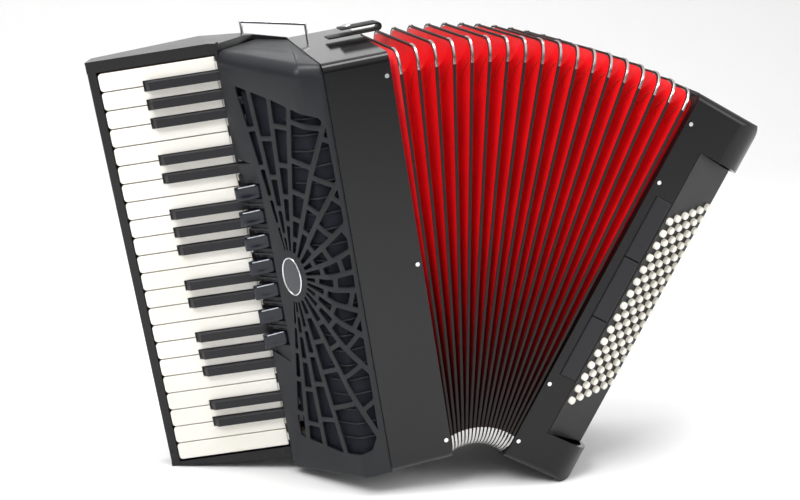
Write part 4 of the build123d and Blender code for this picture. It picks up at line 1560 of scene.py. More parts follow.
    def _oval(
        self, t0: float, z0: float, half_t: float, half_z: float, lift: float, steps: int
    ) -> list[Point3]:
        """Ring of points round an oval on the front."""
        angles = [2 * math.pi * step / steps for step in range(steps)]
        return [self.plan.spot(t0 + half_t * math.cos(a), z0 + half_z * math.sin(a), lift) for a in angles]

    def _well(self, builder: Builder, satin: Finish) -> None:
        """Sunk bed of the register tabs: a scoop at each end, and a rib between each two tabs.

        Args:
            builder: Maker of the pieces.
            satin: Finish of the cover.
        """
        heights = self._tab_heights()
        deep, low = -self.recess_depth, -self.recess_depth - self.recess_wall
        half, gap = 0.9, self.tab_space
        profiles = []
        for below, above in zip(heights, heights[1:]):
            start, end, middle = below + gap, above - gap, (below + above) / 2
            profiles.append(
                [(start, low), (start, deep), (middle - half, deep + 0.6), (middle - half, -0.4)]
                + [(middle + half, -0.4), (middle + half, deep + 0.6), (end, deep), (end, low)]
            )
        low_end, high_end = self.recess[1][1] - 1.0, self.recess[-2][1] + 1.0
        for outer, inner in ((low_end, heights[0] - gap), (high_end, heights[-1] + gap)):
            bend = []
            for share in (0, 0.3, 0.6, 1):
                bend.append((outer + (inner - outer) * share, deep * math.sin(share * math.pi / 2)))
            profiles.append([(outer, low), (outer, -0.3), *bend[1:], (inner, low)])
        start_t, end_t, steps = self.recess[2][0] - 0.6, self.plan.total() - 1.2, 6
        shape = Shape()
        for profile in profiles:
            stops = [start_t + (end_t - start_t) * step / steps for step in range(steps + 1)]
            shape.sweep([[self.plan.spot(t, z, lift) for z, lift in profile] for t in stops])
        shape.block((-152.0, 76.0, heights[0] - 16), (-124.0, 77.4, heights[-1] + 16))
        shape.block((-125.5, 56.0, heights[0] - 12), (-124.0, 76.4, heights[-1] + 12))
        mesh = shape.mesh("well")
        work = bmesh.new()
        work.from_mesh(mesh)
        bmesh.ops.recalc_face_normals(work, faces=work.faces)
        work.to_mesh(mesh)
        work.free()
        builder.piece("register_well", mesh, [satin], Side.TREBLE, "grille_satin", "treble")


# ---- register tabs
@dataclass
class RegisterTabs:
    """Seven rocker tabs on one rod, with a dished face and a pale edge."""

    axle: Point3 = (-132.0, 70.0, 147.0)
    pitch: float = 26.0
    count: int = 7
    length: float = 30.0
    thickness: float = 7.0
    half_width: float = 7.25
    dish: float = 1.0
    pressed: float = 6.0

    def _section(self, z: float, shrink: float) -> list[Point3]:
        """Outline of a tab across its width; the tip is round and the hub goes round the rod.

        Args:
            z: Place from the middle.
            shrink: Inset of the outline.

        Returns:
            Closed outline at that place.
        """
        half = self.thickness / 2 - shrink
        tip, bend = -self.length + shrink, 2.4
        sag = self.dish * max(0.0, 1 - (z / self.half_width) ** 2)
        outline = [(4.0 - shrink, 0.0), (2.8, -half + 1.2), (0.0, -half), (-8.0, -half + sag * 0.2)]
        outline += [(-13.0, -half + sag * 0.8), (-18.0, -half + sag), (-23.0, -half + sag * 0.7)]
        for step in range(4):
            angle = math.pi / 2 * step / 3
            outline.append((tip + bend * (1 - math.sin(angle)), -half + bend * (1 - math.cos(angle))))
        for step in range(4):
            angle = math.pi / 2 * step / 3
            outline.append((tip + bend * (1 - math.cos(angle)), half - bend * (1 - math.sin(angle))))
        outline += [(-18.0, half), (-8.0, half), (0.0, half), (2.8, half - 1.2)]
        return [(x, y, z) for x, y in outline]

    def build(self, builder: Builder) -> None:
        """Makes the row of tabs.

        Args:
            builder: Maker of the pieces.
        """
        tab = Shape()
        half = self.half_width
        levels = [(-half, 0.7), (-half + 0.25, 0.25), (-half + 0.8, 0.0), (-half * 0.5, 0.0), (0.0, 0.0)]
        levels += [(-z, shrink) for z, shrink in reversed(levels[:-1])]
        tab.sweep([self._section(z, shrink) for z, shrink in levels])
        gloss = Lacquer("register_gloss", (0.006, 0.008, 0.014), gloss=0.08, spread=0.08, coat=0.8).make()
        pale = Matt("register_edge", (0.42, 0.44, 0.47), gloss=0.25, relief=0.05).make()
        template = builder.template(tab, "tab")
        sizes = {"Piece": template, "Pressed Angle": math.radians(self.pressed), "Pitch": self.pitch}
        sizes |= {"Start": self.axle, "Count": self.count, "Finish": gloss}
        row = tab_row()
        tabs = builder.piece(
            "register_tabs", row.grow(sizes), [gloss], Side.TREBLE, "register_gloss", "register_switches"
        )
        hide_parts("register_switches")
        strip = Shape()
        face = -self.thickness / 2
        strip.block((-self.length + 3.5, face - 0.12, half - 1.3), (-9.0, face + 0.6, half - 0.35))
        edge_template = builder.template(strip, "tab_edge")
        sizes |= {"Piece": edge_template, "Finish": pale}
        builder.piece(
            "register_edges", row.grow(sizes), [pale], Side.TREBLE, "register_gloss", "register_switches"
        )
        for used in (template, edge_template):
            bpy.data.objects.remove(used)


# ---- bellows
class Wall(Enum):
    """What a row of a fold's wall belongs to."""

    BARE = "bare"
    TAPED = "taped"
    END = "end"


@dataclass(frozen=True)
class WallRow:
    """One row of the walls: share of the fan, offset from its plane, depth and kind."""

    share: float
    offset: float
    depth: float
    kind: Wall


@dataclass
class Bellows:
    """Pleated tube: cloth walls, taped ridges, metal corner guards and gusset piping."""

    body: Body
    folds: int = 17
    end_share: float = 0.03
    inset: float = 1.0
    corner: float = 18.0
    depth: float = 25.0
    tape_depth: float = 2.0
    tape_share: float = 0.19
    lobe: float = 27.0
    ridge_half: float = 1.45
    ridge_depth: float = 0.7
    fold_curve: float = 0.86
    wall_inset: float = 0.55
    guard_depth: float = 3.0
    guard_run: float = 5.0
    red: Colour = (0.78, 0.007, 0.012)
    corner_steps: int = 8
    side_steps: tuple[int, int] = (26, 10)

    def share(self, ridge: float) -> float:
        """Share of the fan at a ridge, counted from 0; halves are valleys."""
        return self.end_share + ridge * (1 - 2 * self.end_share) / self.folds

    def _fold_depth(self, place: float) -> float:
        """Depth below the ridges at a place from 0 to 1 between two of them."""
        fullness = math.sin(math.pi * min(place, 1 - place)) ** self.fold_curve
        return self.ridge_depth + (self.depth - self.ridge_depth) * fullness

    def _corner_radius(self, depth: float) -> float:
        """Corner radius of the section at a depth below the ridges."""
        return max(self.corner - 0.9 * depth, 1.6)

    def section(self, depth: float) -> list[RimPoint]:
        """Y, Z and whether the red cloth starts there, round the section from its front foot.

        Args:
            depth: Depth below the ridges.

        Returns:
            The points, in order.
        """
        low_y, high_y = self.inset + depth, self.body.depth - self.inset - depth
        low_z, high_z = self.inset + depth, self.body.height - self.inset - depth
        radius = self._corner_radius(depth)
        tall, wide = self.side_steps
        corners = {
            Corner.FRONT_TOP: (low_y + radius, high_z - radius, 180.0),
            Corner.BACK_TOP: (high_y - radius, high_z - radius, 90.0),
            Corner.BACK_BOTTOM: (high_y - radius, low_z + radius, 0.0),
            Corner.FRONT_BOTTOM: (low_y + radius, low_z + radius, 270.0),
        }
        points: list[RimPoint] = []
        for corner, (y, z, start) in corners.items():
            upright_first = corner in (Corner.FRONT_TOP, Corner.BACK_BOTTOM)
            for step in range(self.corner_steps + 1):
                angle = math.radians(start - 90.0 * step / self.corner_steps)
                near_upright = step if upright_first else self.corner_steps - step
                red = near_upright < self.corner_steps - 1
                points.append((y + radius * math.cos(angle), z + radius * math.sin(angle), red))
            count = wide if upright_first else tall
            last = points[-1]
            following = self._next_corner(corner, corners, radius)
            for step in range(1, count):
                share = step / count
                y_mid = last[0] + (following[0] - last[0]) * share
                z_mid = last[1] + (following[1] - last[1]) * share
                points.append((y_mid, z_mid, not upright_first))
        return points

    @staticmethod
    def _next_corner(corner: Corner, corners: dict, radius: float) -> Point2:
        """Where the next corner's arc starts.

        Args:
            corner: Corner before it.
            corners: Centres and first angles.
            radius: Radius of the corners.

        Returns:
            Y and Z of the arc's start.
        """
        order = list(corners)
        y, z, start = corners[order[(order.index(corner) + 1) % len(order)]]
        angle = math.radians(start)
        return y + radius * math.cos(angle), z + radius * math.sin(angle)

    def _wall_rows(self) -> list[WallRow]:
        """All rows of the walls, from end to end.

        Returns:
            Rows from the treble side.
        """
        half = self.ridge_half - self.wall_inset
        rows = [WallRow(0.0, 0.4, 8.0, Wall.END), WallRow(self.share(0) * 0.5, -0.2, 7.5, Wall.END)]
        places = (0.045, 0.11, self.tape_share, 0.30, 0.40, 0.46, 0.5)
        for ridge in range(self.folds + 1):
            share = self.share(ridge)
            rows.append(WallRow(share, -half, self.ridge_depth, Wall.TAPED))
            rows.append(WallRow(share, half, self.ridge_depth, Wall.TAPED))
            if ridge == self.folds:
                break
            for place in (*places, *[1 - place for place in reversed(places[:-1])]):
                near = min(place, 1 - place)
                depth = self._fold_depth(place)
                taped = near < self.tape_share or place == self.tape_share
                kind = Wall.TAPED if taped else Wall.BARE
                rows.append(WallRow(self.share(ridge + place), half * (1 - 2 * place), depth, kind))
        rows.append(WallRow(1 - self.share(0) * 0.5, 0.2, 7.5, Wall.END))
        rows.append(WallRow(1.0, -0.4, 8.0, Wall.END))
        return rows

    def _look(self, row: "WallRow", following: "WallRow", spot: RimPoint) -> int:
        """Material of one face: 0 red, 1 black, 2 tape.

        Args:
            row: Row on the treble side.
            following: Row on its bass side.
            spot: The face's first point.

        Returns:
            Index of the material.
        """
        _, z, red = spot
        if Wall.END in (row.kind, following.kind) or not red:
            return 1
        both = row.kind is Wall.TAPED and following.kind is not Wall.END
        taped = both or following.kind is Wall.TAPED
        inner = self.inset + self.lobe
        return 2 if taped and inner < z < self.body.height - inner else 0

    def _cloth(self, builder: Builder) -> bpy.types.Mesh:
        """Cloth walls of all folds as one tube.

        Args:
            builder: Maker of the pieces.

        Returns:
            The walls as one mesh.
        """
        rows = self._wall_rows()
        sections = [self.section(row.depth) for row in rows]
        around = len(sections[0])
        points, shares = [], []
        for row, section in zip(rows, sections):
            for y, z, _ in section:
                x, up = self.body.fan_point(row.share, row.offset, z)
                points.append((x, y, up))
                shares.append(row.share)
        faces, looks = [], []
        for place in range(len(rows) - 1):
            for column in range(around):
                after = (column + 1) % around
                a, b = place * around, (place + 1) * around
                faces.append((a + column, a + after, b + after, b + column))
                looks.append(self._look(rows[place], rows[place + 1], sections[0][column]))
        mesh = bpy.data.meshes.new("pleats")
        mesh.from_pydata(points, [], faces)
        mesh.polygons.foreach_set("material_index", looks)
        mesh.attributes.new("share", "FLOAT", "POINT").data.foreach_set("value", shares)
        steps = [abs(b.share - a.share) * 600 + abs(b.depth - a.depth) for a, b in zip(rows, rows[1:])]
        run = np.cumsum([0.0, *steps])
        lengths = self._around(sections[0])
        layout = mesh.uv_layers.new(name="threads")
        for polygon in mesh.polygons:
            for loop in polygon.loop_indices:
                place = mesh.loops[loop].vertex_index
                column, row = place % around, place // around
                if column == 0 and polygon.index % around == around - 1:
                    column = around
                layout.data[loop].uv = (lengths[column] * MM, float(run[row]) * MM)
        work = bmesh.new()
        work.from_mesh(mesh)
        bmesh.ops.recalc_face_normals(work, faces=work.faces)
        work.to_mesh(mesh)
        work.free()
        return builder.worked(mesh, ("SOLIDIFY", {"thickness": 0.8, "offset": -1.0}))

    @staticmethod
    def _around(section: Sequence[RimPoint]) -> list[float]:
        """Distance round a section to each of its points and back to the first.

        Args:
            section: Section of the bellows.

        Returns:
            Distances, the total last.
        """
        lengths = [0.0]
        for a, b in zip(section, [*section[1:], section[0]]):
            lengths.append(lengths[-1] + math.hypot(b[0] - a[0], b[1] - a[1]))
        return lengths

    def _loop_bar(self, profile: Sequence[Point2]) -> Shape:
        """Closed bar round the whole section; the profile is offset and depth.

        Args:
            profile: Offset and depth of each point.

        Returns:
            The bar as a shape.
        """
        sections = {depth: self.section(depth) for _, depth in profile}
        around = len(sections[profile[0][1]])
        shape = Shape()
        shape.sweep(
            [[(offset, *sections[depth][place][:2]) for offset, depth in profile] for place in range(around)],
            closed=True,
        )
        return shape

    def _guard(self) -> Shape:
        """Bent metal guards on the four corners of one ridge.

        Returns:
            The four guards as one shape.
        """
        shape = Shape()
        half, inner = self.ridge_half - 0.1, self.ridge_half - 0.4
        profile = [(-half, self.guard_depth), (-half, -0.2), (-half + 0.5, -0.7), (half - 0.5, -0.7)]
        profile += [(half, -0.2), (half, self.guard_depth), (inner, self.guard_depth), (inner, 0.1)]
        profile += [(-inner, 0.1), (-inner, self.guard_depth)]
        for corner in Corner:
            shape.sweep(self._guard_sections(corner, profile))
        return shape

    def _guard_sections(self, corner: Corner, profile: Sequence[Point2]) -> list[list[Point3]]:
        """Sections of one guard from the straight front or back edge round to the top or bottom.

        Args:
            corner: Corner of the guard.
            profile: Offset and depth of each point.

        Returns:
            Sections round the corner.
        """
        side, up = corner.value
        centre_y = self.body.depth / 2 + side * (self.body.depth / 2 - self.inset - self.corner)
        centre_z = self.body.height / 2 + up * (self.body.height / 2 - self.inset - self.corner)
        sections = []
        stops = [(-self.guard_run, 0.0), *[(0.0, 90.0 * s / 10) for s in range(11)], (self.guard_run, 90.0)]
        for run, angle in stops:
            out_y, out_z = side * math.cos(math.radians(angle)), up * math.sin(math.radians(angle))
            along_y, along_z = -side * math.sin(math.radians(angle)), up * math.cos(math.radians(angle))
            section = []
            for offset, depth in profile:
                reach = self.corner - depth
                y = centre_y + out_y * reach + along_y * run
                z = centre_z + out_z * reach + along_z * run
                section.append((offset, y, z))
            sections.append(section)
        return sections

    def _piping(self) -> Shape:
        """Thin gold lines along the gusset creases at the top front and top back of each fold.

        Returns:
            All lines as one shape.
        """
        shape = Shape()
        half = self.ridge_half - self.wall_inset
        for ridge in range(self.folds):
            for toward, start, stop in ((1, 0.93, 0.66), (0, 0.07, 0.34)):
                for side in (-1, 1):
                    rows = []
                    steps = 6
                    for step in range(steps + 1):
                        q = step / steps
                        u = start + (stop - start) * q
                        place = 1 - u if toward else u
                        depth = self._fold_depth(place)
                        lateral = half * (1 - 2 * u) + (0.45 if not toward else -0.45)
                        share = self.share(ridge + u)
                        z_top = self.body.height - self.inset - self.corner - 2.0 - 26.0 * q
                        near = self.inset + depth - self.ridge_depth
                        y = near if side < 0 else self.body.depth - near
                        rows.append((share, lateral, y, z_top))
                    self._strip(shape, rows, side)
        return shape

    def _strip(self, shape: Shape, rows: Sequence[tuple[float, float, float, float]], side: int) -> None:
        """Narrow four-sided strip through points of the fan.

        Args:
            shape: Shape to add to.
            rows: Share, offset, Y and Z of each.
            side: -1 at the front, 1 at the back.
        """
        width, thick = 1.1, 0.5
        base = len(shape.points)
        for share, lateral, y, z in rows:
            for dz, dy in ((-width / 2, 0.0), (width / 2, 0.0), (width / 2, thick), (-width / 2, thick)):
                x, up = self.body.fan_point(share, lateral, z + dz)
                shape.points.append((x, y - side * dy, up))
                shape.shares.append(share)
        count = len(rows)
        for row in range(count - 1):
            for turn in range(4):
                a, b = base + row * 4, base + (row + 1) * 4
                after = (turn + 1) % 4
                shape.faces.append((a + turn, a + after, b + after, b + turn))
                shape.looks.append(0)
        shape.faces.append((base + 3, base + 2, base + 1, base))
        last = base + (count - 1) * 4
        shape.faces.append((last, last + 1, last + 2, last + 3))
        shape.looks.extend((0, 0))

    def _blend(self, piece: Model) -> None:
        """Moves a piece's placement into its mesh and removes the shares from its points.

        Args:
            piece: Piece with shares on its points.
        """
        x, z = self.body.fan_point(0.0, 0.0, self.body.height)
        x, z = self.body.fan_point(1.0, 0.0, self.body.height)
        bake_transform(piece)
        shares = np.zeros(len(piece.data.vertices), np.float32)
        piece.data.attributes["share"].data.foreach_get("value", shares)
        piece.data.attributes.remove(piece.data.attributes["share"])

    def build(self, builder: Builder) -> None:
        """Makes the cloth, tapes, guards and piping.

        Args:
            builder: Maker of the pieces.
        """
        # The red cloth carries painted shade: it darkens to near black from 0.30 m down to 0.06 m, standing in
        # for the shade in the lower folds.
        red = PleatCloth("bellows_red", self.red, painted_shade_rise=(0.06, 0.30)).make()
        black = PleatCloth("bellows_black", (0.010, 0.009, 0.009), gloss=0.5).make()
        tape = PleatCloth("ridge_tape", (0.014, 0.009, 0.008), gloss=0.46, thread=0.0008).make()
        steel = PolishedMetal("guard_nickel", (0.58, 0.57, 0.56), gloss=0.14).make()
        gold = PolishedMetal("gusset_gold", (0.85, 0.58, 0.24), gloss=0.3).make()
        looks = [red, black, tape]
        walls = builder.piece(
            "bellows_pleats", self._cloth(builder), looks, Side.TREBLE, "bellows_cloth", smooth=60
        )
        self._blend(walls)
        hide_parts("bellows")
        half = self.ridge_half
        deep = self.tape_depth
        left = [(-half, deep), (-half, 0.45), (-half + 0.45, 0.0)]
        profile = left + [(-x, depth) for x, depth in reversed(left)]
        profile += [(half - 0.45, deep), (half - 0.45, 0.6), (-half + 0.45, 0.6), (-half + 0.45, deep)]
        row = fold_row()
        sizes = {"Folds": self.folds + 1, "End Share": self.end_share, "Fan Angle": math.radians(self.body.fan)}
        pivot_x, pivot_z = self.body.pivot
        sizes |= {"Closed Width": self.body.closed, "Pivot X": pivot_x, "Pivot Z": pivot_z}
        parts = (
            ("ridge_tapes", self._loop_bar(profile), tape, "bellows_cloth"),
            ("corner_guards", self._guard(), steel, "chrome"),
        )
        for name, shape, finish, slot in parts:
            template = builder.template(shape, name + "_one")
            mesh = row.grow(sizes | {"Piece": template, "Finish": finish})
            piece = builder.piece(name, mesh, [finish], Side.TREBLE, slot, smooth=40)
            self._blend(piece)
            bpy.data.objects.remove(template)
        piping = builder.piece("gusset_piping", self._piping().mesh("piping"), [gold], Side.TREBLE, "chrome")
        self._blend(piping)


# ---- bass side
@dataclass
class BassSide:
    """Bass case, its buttons, registers, cover and hand strap."""

    body: Body
    board_start: float = 31.0
    board_run: float = 58.4
    board_fall: float = 38.6
    rows: int = 6
    columns: int = 16
    pitch: float = 14.098
    row_pitch: float = 11.3
    stagger: float = 6.4
    first: float = 83.8
    edge: float = 8.0
    button_radius: float = 4.0
    strap_front: float = 95.0
    strap_width: float = 55.0
    strap_low: float = 34.0
    strap_high: float = 392.0
    strap_bow: float = 24.0
    colour: Colour = (0.0040, 0.0041, 0.0048)

    def _buttons(self, builder: Builder) -> None:
        """All bass buttons as one field.

        Args:
            builder: Maker of the pieces.
        """
        radius, proud = self.button_radius, 4.5
        shape = Shape()
        profile = [(0.0, -3.4), (radius, -3.4), (radius, proud - 1.5), (radius - 0.25, proud - 0.8)]
        profile += [(radius - 0.9, proud - 0.25), (radius - 2.0, proud), (0.0, proud + 0.12)]
        shape.lathe(profile, steps=20)
        template = builder.template(shape, "button")
        ivory = Lacquer("button_ivory", (0.70, 0.67, 0.60), gloss=0.16, spread=0.12, coat=0.4).make()
        sizes = {"Piece": template, "Pitch": self.pitch, "Row Pitch": self.row_pitch, "Stagger": self.stagger}
        sizes |= {"First": self.first, "Edge": self.edge, "Rows": self.rows}
        sizes |= {"Columns": self.columns, "Finish": ivory}
        mesh = button_field().grow(sizes)
        slant = math.atan2(self.board_fall, self.board_run)
        mesh.transform(Matrix.Translation((self.board_start, 0, 0)) @ Matrix.Rotation(slant, 4, "Z"))
        buttons = builder.piece("button_heads", mesh, [ivory], Side.BASS, "button_ivory", "bass_buttons")
        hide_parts("bass_buttons")
        bpy.data.objects.remove(template)

    def _strap_line(self, lift: float, steps: int = 40) -> list[Point2]:
        """Bowed centre line of the hand strap in X and Z, lifted from its inner face.

        Args:
            lift: Height over the inner face.
            steps: Parts of the line.

        Returns:
            X and Z of each point.
        """
        x0 = self.body.bass_width + 0.2
        half = (self.strap_high - self.strap_low) / 2
        bow = self.strap_bow
        radius = (half**2 + bow**2) / (2 * bow)
        middle = (self.strap_low + self.strap_high) / 2
        reach = math.asin(half / radius)
        line = []
        for step in range(steps + 1):
            angle = -reach + 2 * reach * step / steps
            sit = min(1.0, min(step, steps - step) / 3)
            reached = radius + lift * sit
            line.append((x0 + bow - radius + reached * math.cos(angle), middle + reached * math.sin(angle)))
        return line

    def _strap(self, builder: Builder) -> None:
        """Padded leather hand strap with a seam along both edges.

        Args:
            builder: Maker of the pieces.
        """
        y0, y1 = self.strap_front + 0.4, self.strap_front + self.strap_width - 0.4
        across = 14
        shape = Shape()
        inner, outer = self._strap_line(0.2), self._strap_line(2.2)
        sections = []
        for (xi, zi), (xo, zo) in zip(inner, outer):
            section = []
            for step in range(across + 1):
                share = step / across
                plump = 0.62 + 0.38 * math.sin(math.pi * share) ** 0.6
                section.append((xi + (xo - xi) * plump, y0 + (y1 - y0) * share, zi + (zo - zi) * plump))
            for step in range(across + 1):
                share = 1 - step / across
                section.append((xi, y0 + (y1 - y0) * share, zi))
            sections.append(section)
        shape.sweep(sections)
        mesh = builder.worked(
            shape.mesh("strap"),
            eased(0.4, 50),
        )
        leather = Leather("strap_leather", (0.012, 0.011, 0.011), (0.05, 0.045, 0.042)).make()
        strap = builder.piece(
            "hand_strap_leather", mesh, [leather], Side.BASS, "strap_leather", "bass", smooth=50
        )
        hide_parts("hand_strap")
        thread = Matt("strap_thread", (0.10, 0.095, 0.09), relief=0.2).make()
        stitch = Shape()
        stitch.sweep(
            [
                [(x, r * math.cos(a), r * math.sin(a)) for a in (0.0, 1.57, 3.14, 4.71)]
                for x, r in ((-1.3, 0.1), (-1.0, 0.32), (1.0, 0.32), (1.3, 0.1))
            ]
        )
        template = builder.template(stitch, "stitch")
        for number, y in enumerate((y0 + 4.0, y1 - 4.0), 1):
            share = (y - y0) / (y1 - y0)
            plump = 0.62 + 0.38 * math.sin(math.pi * share) ** 0.6
            points = [
                (xi + (xo - xi) * plump + 0.1, y, zi + (zo - zi) * plump)
                for (xi, zi), (xo, zo) in list(zip(inner, outer))[3:-3]
            ]
            mesh = bpy.data.meshes.new("seam")
            mesh.from_pydata(points, [(i, i + 1) for i in range(len(points) - 1)], [])
            host = bpy.data.objects.new("seam", mesh)
            seam = stitch_line().grow({"Piece": template, "Pitch": 4.2, "Finish": thread}, host)
            builder.piece(f"hand_strap_seam_{number}", seam, [thread], Side.BASS, "strap_leather", "bass")
        bpy.data.objects.remove(template)

    def build(self, builder: Builder) -> None:
        """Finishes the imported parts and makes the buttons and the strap.

        Args:
            builder: Maker of the pieces.
        """
        satin = Lacquer("bass_satin", self.colour, gloss=0.27, spread=0.12, coat=0.3).make()
        dress("bass_case", satin)
        dress("bass_cover", Lacquer("cover_satin", self.colour, gloss=0.34, coat=0.15, ripple=0.12).make())
        dress("button_board", Lacquer("board_satin", (0.006, 0.006, 0.007), gloss=0.36, coat=0.1).make())
        dress("bass_registers", Lacquer("bar_satin", (0.012, 0.012, 0.014), gloss=0.28, coat=0.2).make())
        dress("strap_wheel", Lacquer("wheel_black", (0.012, 0.012, 0.013), gloss=0.3, coat=0.1).make())
        dress("air_button", Lacquer("air_button_ivory", (0.62, 0.59, 0.53), gloss=0.18, coat=0.4).make())
        dress("rubber_feet", Matt("rubber", (0.016, 0.016, 0.016)).make())
        self._buttons(builder)
        self._strap(builder)


# ---- treble side
@dataclass
class TrebleSide:
    """Treble case, closing straps, bails and pins."""

    body: Body
    colour: Colour = (0.0035, 0.0036, 0.0042)
    strap_middle: float = 112.0
    strap_width: float = 24.0
    strap_thick: float = 2.2
    strap_reach: float = 16.0
    strap_tail: float = -36.0

    def _closing_strap(
        self, builder: Builder, name: str, base: float, sign: int, leather: Finish
    ) -> None:
        """One closing strap, folded back on itself.

        Args:
            builder: Maker of the pieces.
            name: Name of the piece.
            base: Height of the face below it.
            sign: 1 at the top, -1 at the bottom.
            leather: Finish of the strap.
        """
        rise, thick = 9.0, self.strap_thick
        middle_low, middle_high = thick / 2, rise - thick / 2
        bend = (middle_high - middle_low) / 2
        line = [(x, middle_low) for x in (self.strap_tail, self.strap_reach / 2, self.strap_reach)]
        for step in range(1, 10):
            angle = -math.pi / 2 + math.pi * step / 10
            line.append((self.strap_reach + bend * math.cos(angle), rise / 2 + bend * math.sin(angle)))
        line += [(self.strap_reach, middle_high), (0.0, middle_high), (self.strap_tail + 14, middle_high)]
        sections = []
        for place, (x, z) in enumerate(line):
            ahead, behind = line[min(place + 1, len(line) - 1)], line[max(place - 1, 0)]
            run = Vector((ahead[0] - behind[0], ahead[1] - behind[1])).normalized()
            out = (-run.y, run.x)
            section = []
            for across, level in ((-1, -1), (0, -1), (1, -1), (1, 1), (0, 1), (-1, 1)):
                y = self.strap_middle + across * self.strap_width / 2
                lift = level * thick / 2 * (1.0 if across == 0 else 0.8)
                section.append((x + out[0] * lift, y, base + sign * (z + out[1] * lift)))
            sections.append(section)
        shape = Shape()
        shape.sweep(sections)
        mesh = builder.worked(
            shape.mesh(name),
            eased(0.35, 40),
        )
        builder.piece(name, mesh, [leather], Side.TREBLE, "strap_leather", "treble", smooth=50)

    def build(self, builder: Builder) -> None:
        """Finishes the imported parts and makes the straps.

        Args:
            builder: Maker of the pieces.
        """
        dress("treble_case", Lacquer("case_lacquer", self.colour, gloss=0.12, spread=0.08, coat=0.7).make())
        leather = Leather("closing_leather", (0.011, 0.010, 0.010), (0.045, 0.04, 0.036)).make()
        self._closing_strap(builder, "closing_strap_top", self.body.top(self.body.depth) + 0.4, 1, leather)
        self._closing_strap(builder, "closing_strap_bottom", -0.4, -1, leather)
        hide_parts("bellows_straps")
        chrome = PolishedMetal("chrome", (0.82, 0.83, 0.85), gloss=0.06, spread=0.1).make()
        for node in ("strap_brackets", "treble_pins", "bass_pins"):
            dress(node, chrome)
        self._studs(builder, chrome)

    def _studs(self, builder: Builder, chrome: Finish) -> None:
        """Press studs of the two closing straps.

        Args:
            builder: Maker of the pieces.
            chrome: Finish of the studs.
        """
        shape = Shape()
        shape.lathe([(0, 0), (5.2, 0), (5.2, 0.7), (4.6, 1.5), (3.0, 2.2), (1.2, 2.5), (0, 2.55)], steps=28)
        top = self.body.top(self.body.depth) + 0.4
        for name, z, flip in (("top_stud", top + 9.0, 1), ("bottom_stud", -9.4, -1)):
            mesh = shape.mesh(name)
            moved = Matrix.Translation((-14.0, self.strap_middle, z))
            mesh.transform(moved @ Matrix.Diagonal((1, flip, flip, 1)))
            builder.piece(name, mesh, [chrome], Side.TREBLE, "chrome", "treble")


# ---- inner parts
def dress_inside() -> None:
    """Finishes the wooden frames, the reed blocks and the rods."""
    timber = Timber("reed_spruce", (0.50, 0.33, 0.17), (0.30, 0.17, 0.08)).make()
    stained = Timber("frame_stained", (0.012, 0.010, 0.009), (0.006, 0.005, 0.005)).make()
    steel = PolishedMetal("rod_steel", (0.62, 0.63, 0.65), gloss=0.2).make()
    for node in ("treble_reed_blocks", "bass_reed_blocks"):
        dress(node, timber)
    for node in ("treble_bellows_frame", "bass_bellows_frame"):
        dress(node, stained)
    dress("pivot_rods", steel)


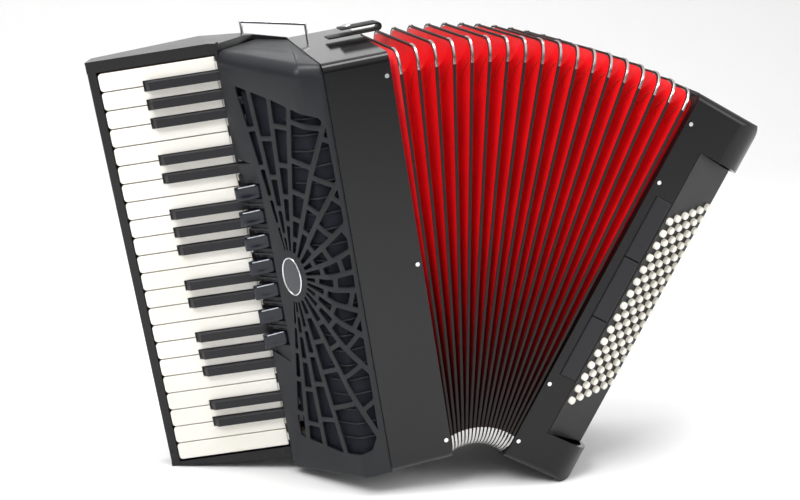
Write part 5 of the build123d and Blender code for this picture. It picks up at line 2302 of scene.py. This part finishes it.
# ---- studio
@dataclass(frozen=True)
class Studio:
    """Pale sweep, soft lamps and the camera."""

    target: Point3 = (-0.0440, -0.0917, 0.2594)
    distance: float = 1.4765
    azimuth: float = -14.48
    elevation: float = 13.31
    roll: float = 1.57
    lens: float = 67.5
    pale: Colour = (0.88, 0.88, 0.88)
    sky: tuple[float, float] = (0.12, 1.05)

    def _camera(self) -> None:
        """Sets the camera at its angle."""
        azimuth, elevation, roll = (math.radians(a) for a in (self.azimuth, self.elevation, self.roll))
        level = math.cos(elevation)
        back = Vector((math.sin(azimuth) * level, -math.cos(azimuth) * level, math.sin(elevation)))
        right = Vector((math.cos(azimuth), math.sin(azimuth), 0.0))
        up = back.cross(right)
        right, up = right * math.cos(roll) + up * math.sin(roll), up * math.cos(roll) - right * math.sin(roll)
        data = bpy.data.cameras.new("camera")
        data.lens = self.lens
        camera = bpy.data.objects.new("camera", data)
        bpy.context.scene.collection.objects.link(camera)
        camera.matrix_world = Matrix.Translation(Vector(self.target) + back * self.distance) @ Matrix(
            (right, up, back)
        ).transposed().to_4x4()
        bpy.context.scene.camera = camera

    def _lamp(self, name: str, place: Point3, size: Point2, power: float) -> None:
        """Adds a soft rectangular lamp that faces the instrument.

        Args:
            name: Name of the lamp.
            place: Place in metres.
            size: Width and height in metres.
            power: Power in watts.
        """
        data = bpy.data.lights.new(name, "AREA")
        data.shape = "RECTANGLE"
        data.size, data.size_y = size
        data.energy = power
        lamp = bpy.data.objects.new(name, data)
        lamp.location = place
        middle = (PACKED_BOX[0] + PACKED_BOX[1]) / 2
        lamp.rotation_euler = (Vector(place) - middle).to_track_quat("Z", "Y").to_euler()
        bpy.context.scene.collection.objects.link(lamp)

    def _sweep(self) -> None:
        """Floor that curves up behind the instrument."""
        radius, back, tall, half = 1.0, 1.6, 3.2, 4.5
        line = [(-4.0, 0.0), (back, 0.0)]
        for step in range(1, 13):
            angle = math.pi / 2 * step / 12
            line.append((back + radius * math.sin(angle), radius * (1 - math.cos(angle))))
        line.append((back + radius, tall))
        shape = Shape()
        shape.grid([[(-half, y, z), (half, y, z)] for y, z in line])
        mesh = shape.mesh("sweep")
        mesh.shade_smooth()
        graph = FinishGraph("sweep_paper")
        paper = graph.blend(graph.noise(3.0), self.pale, tuple(channel * 0.985 for channel in self.pale))
        mesh.materials.append(graph.close(base_color=paper, roughness=0.9))
        sweep = bpy.data.objects.new("studio_sweep", mesh)
        bpy.context.scene.collection.objects.link(sweep)

    def _sky(self) -> None:
        """Soft sky that is darker towards the horizon, and plain white where it is seen directly."""
        world = bpy.data.worlds.new("sky")
        world.use_nodes = True
        world.node_tree.nodes.clear()
        graph = Graph(world.node_tree)
        direction = graph.node("ShaderNodeTexCoord", output="Generated")
        height = graph.node("ShaderNodeSeparateXYZ", None, {"Vector": direction}, "Z")
        seen = graph.node("ShaderNodeLightPath", output="Is Camera Ray")
        low, high = self.sky
        glow = low + (high - low) * height.between(0.0, 0.8)
        strength = glow + seen * (1.0 - glow)
        sky = graph.node("ShaderNodeBackground", None, {"Color": (1.0, 1.0, 1.0, 1.0), "Strength": strength})
        output = world.node_tree.nodes.new("ShaderNodeOutputWorld")
        world.node_tree.links.new(sky.output, output.inputs["Surface"])
        bpy.context.scene.world = world

    def build(self) -> None:
        """Makes the camera, the sweep, the sky and the lamps."""
        self._camera()
        self._sweep()
        self._sky()
        bpy.context.scene.view_settings.view_transform = "Standard"
        self._lamp("key_lamp", (-1.1, -1.2, 1.9), (0.9, 0.9), 30.0)
        self._lamp("top_lamp", (0.1, -0.1, 1.9), (1.6, 0.5), 22.0)
        self._lamp("fill_lamp", (1.8, -1.3, 0.9), (0.8, 1.2), 15.0)


BODY = Body()
PLACES = Places(frame["joints"], BODY)


def main() -> None:
    """Builds the instrument, one sub-assembly after another."""
    Studio().build()
    builder = Builder(PLACES)
    Keyboard(BODY, PLACES).dress()
    Grille(BODY, CoverPlan(BODY)).build(builder)
    RegisterTabs().build(builder)
    Bellows(BODY).build(builder)
    BassSide(BODY).build(builder)
    TrebleSide(BODY).build(builder)
    dress_inside()


if __name__ == "__main__":
    main()
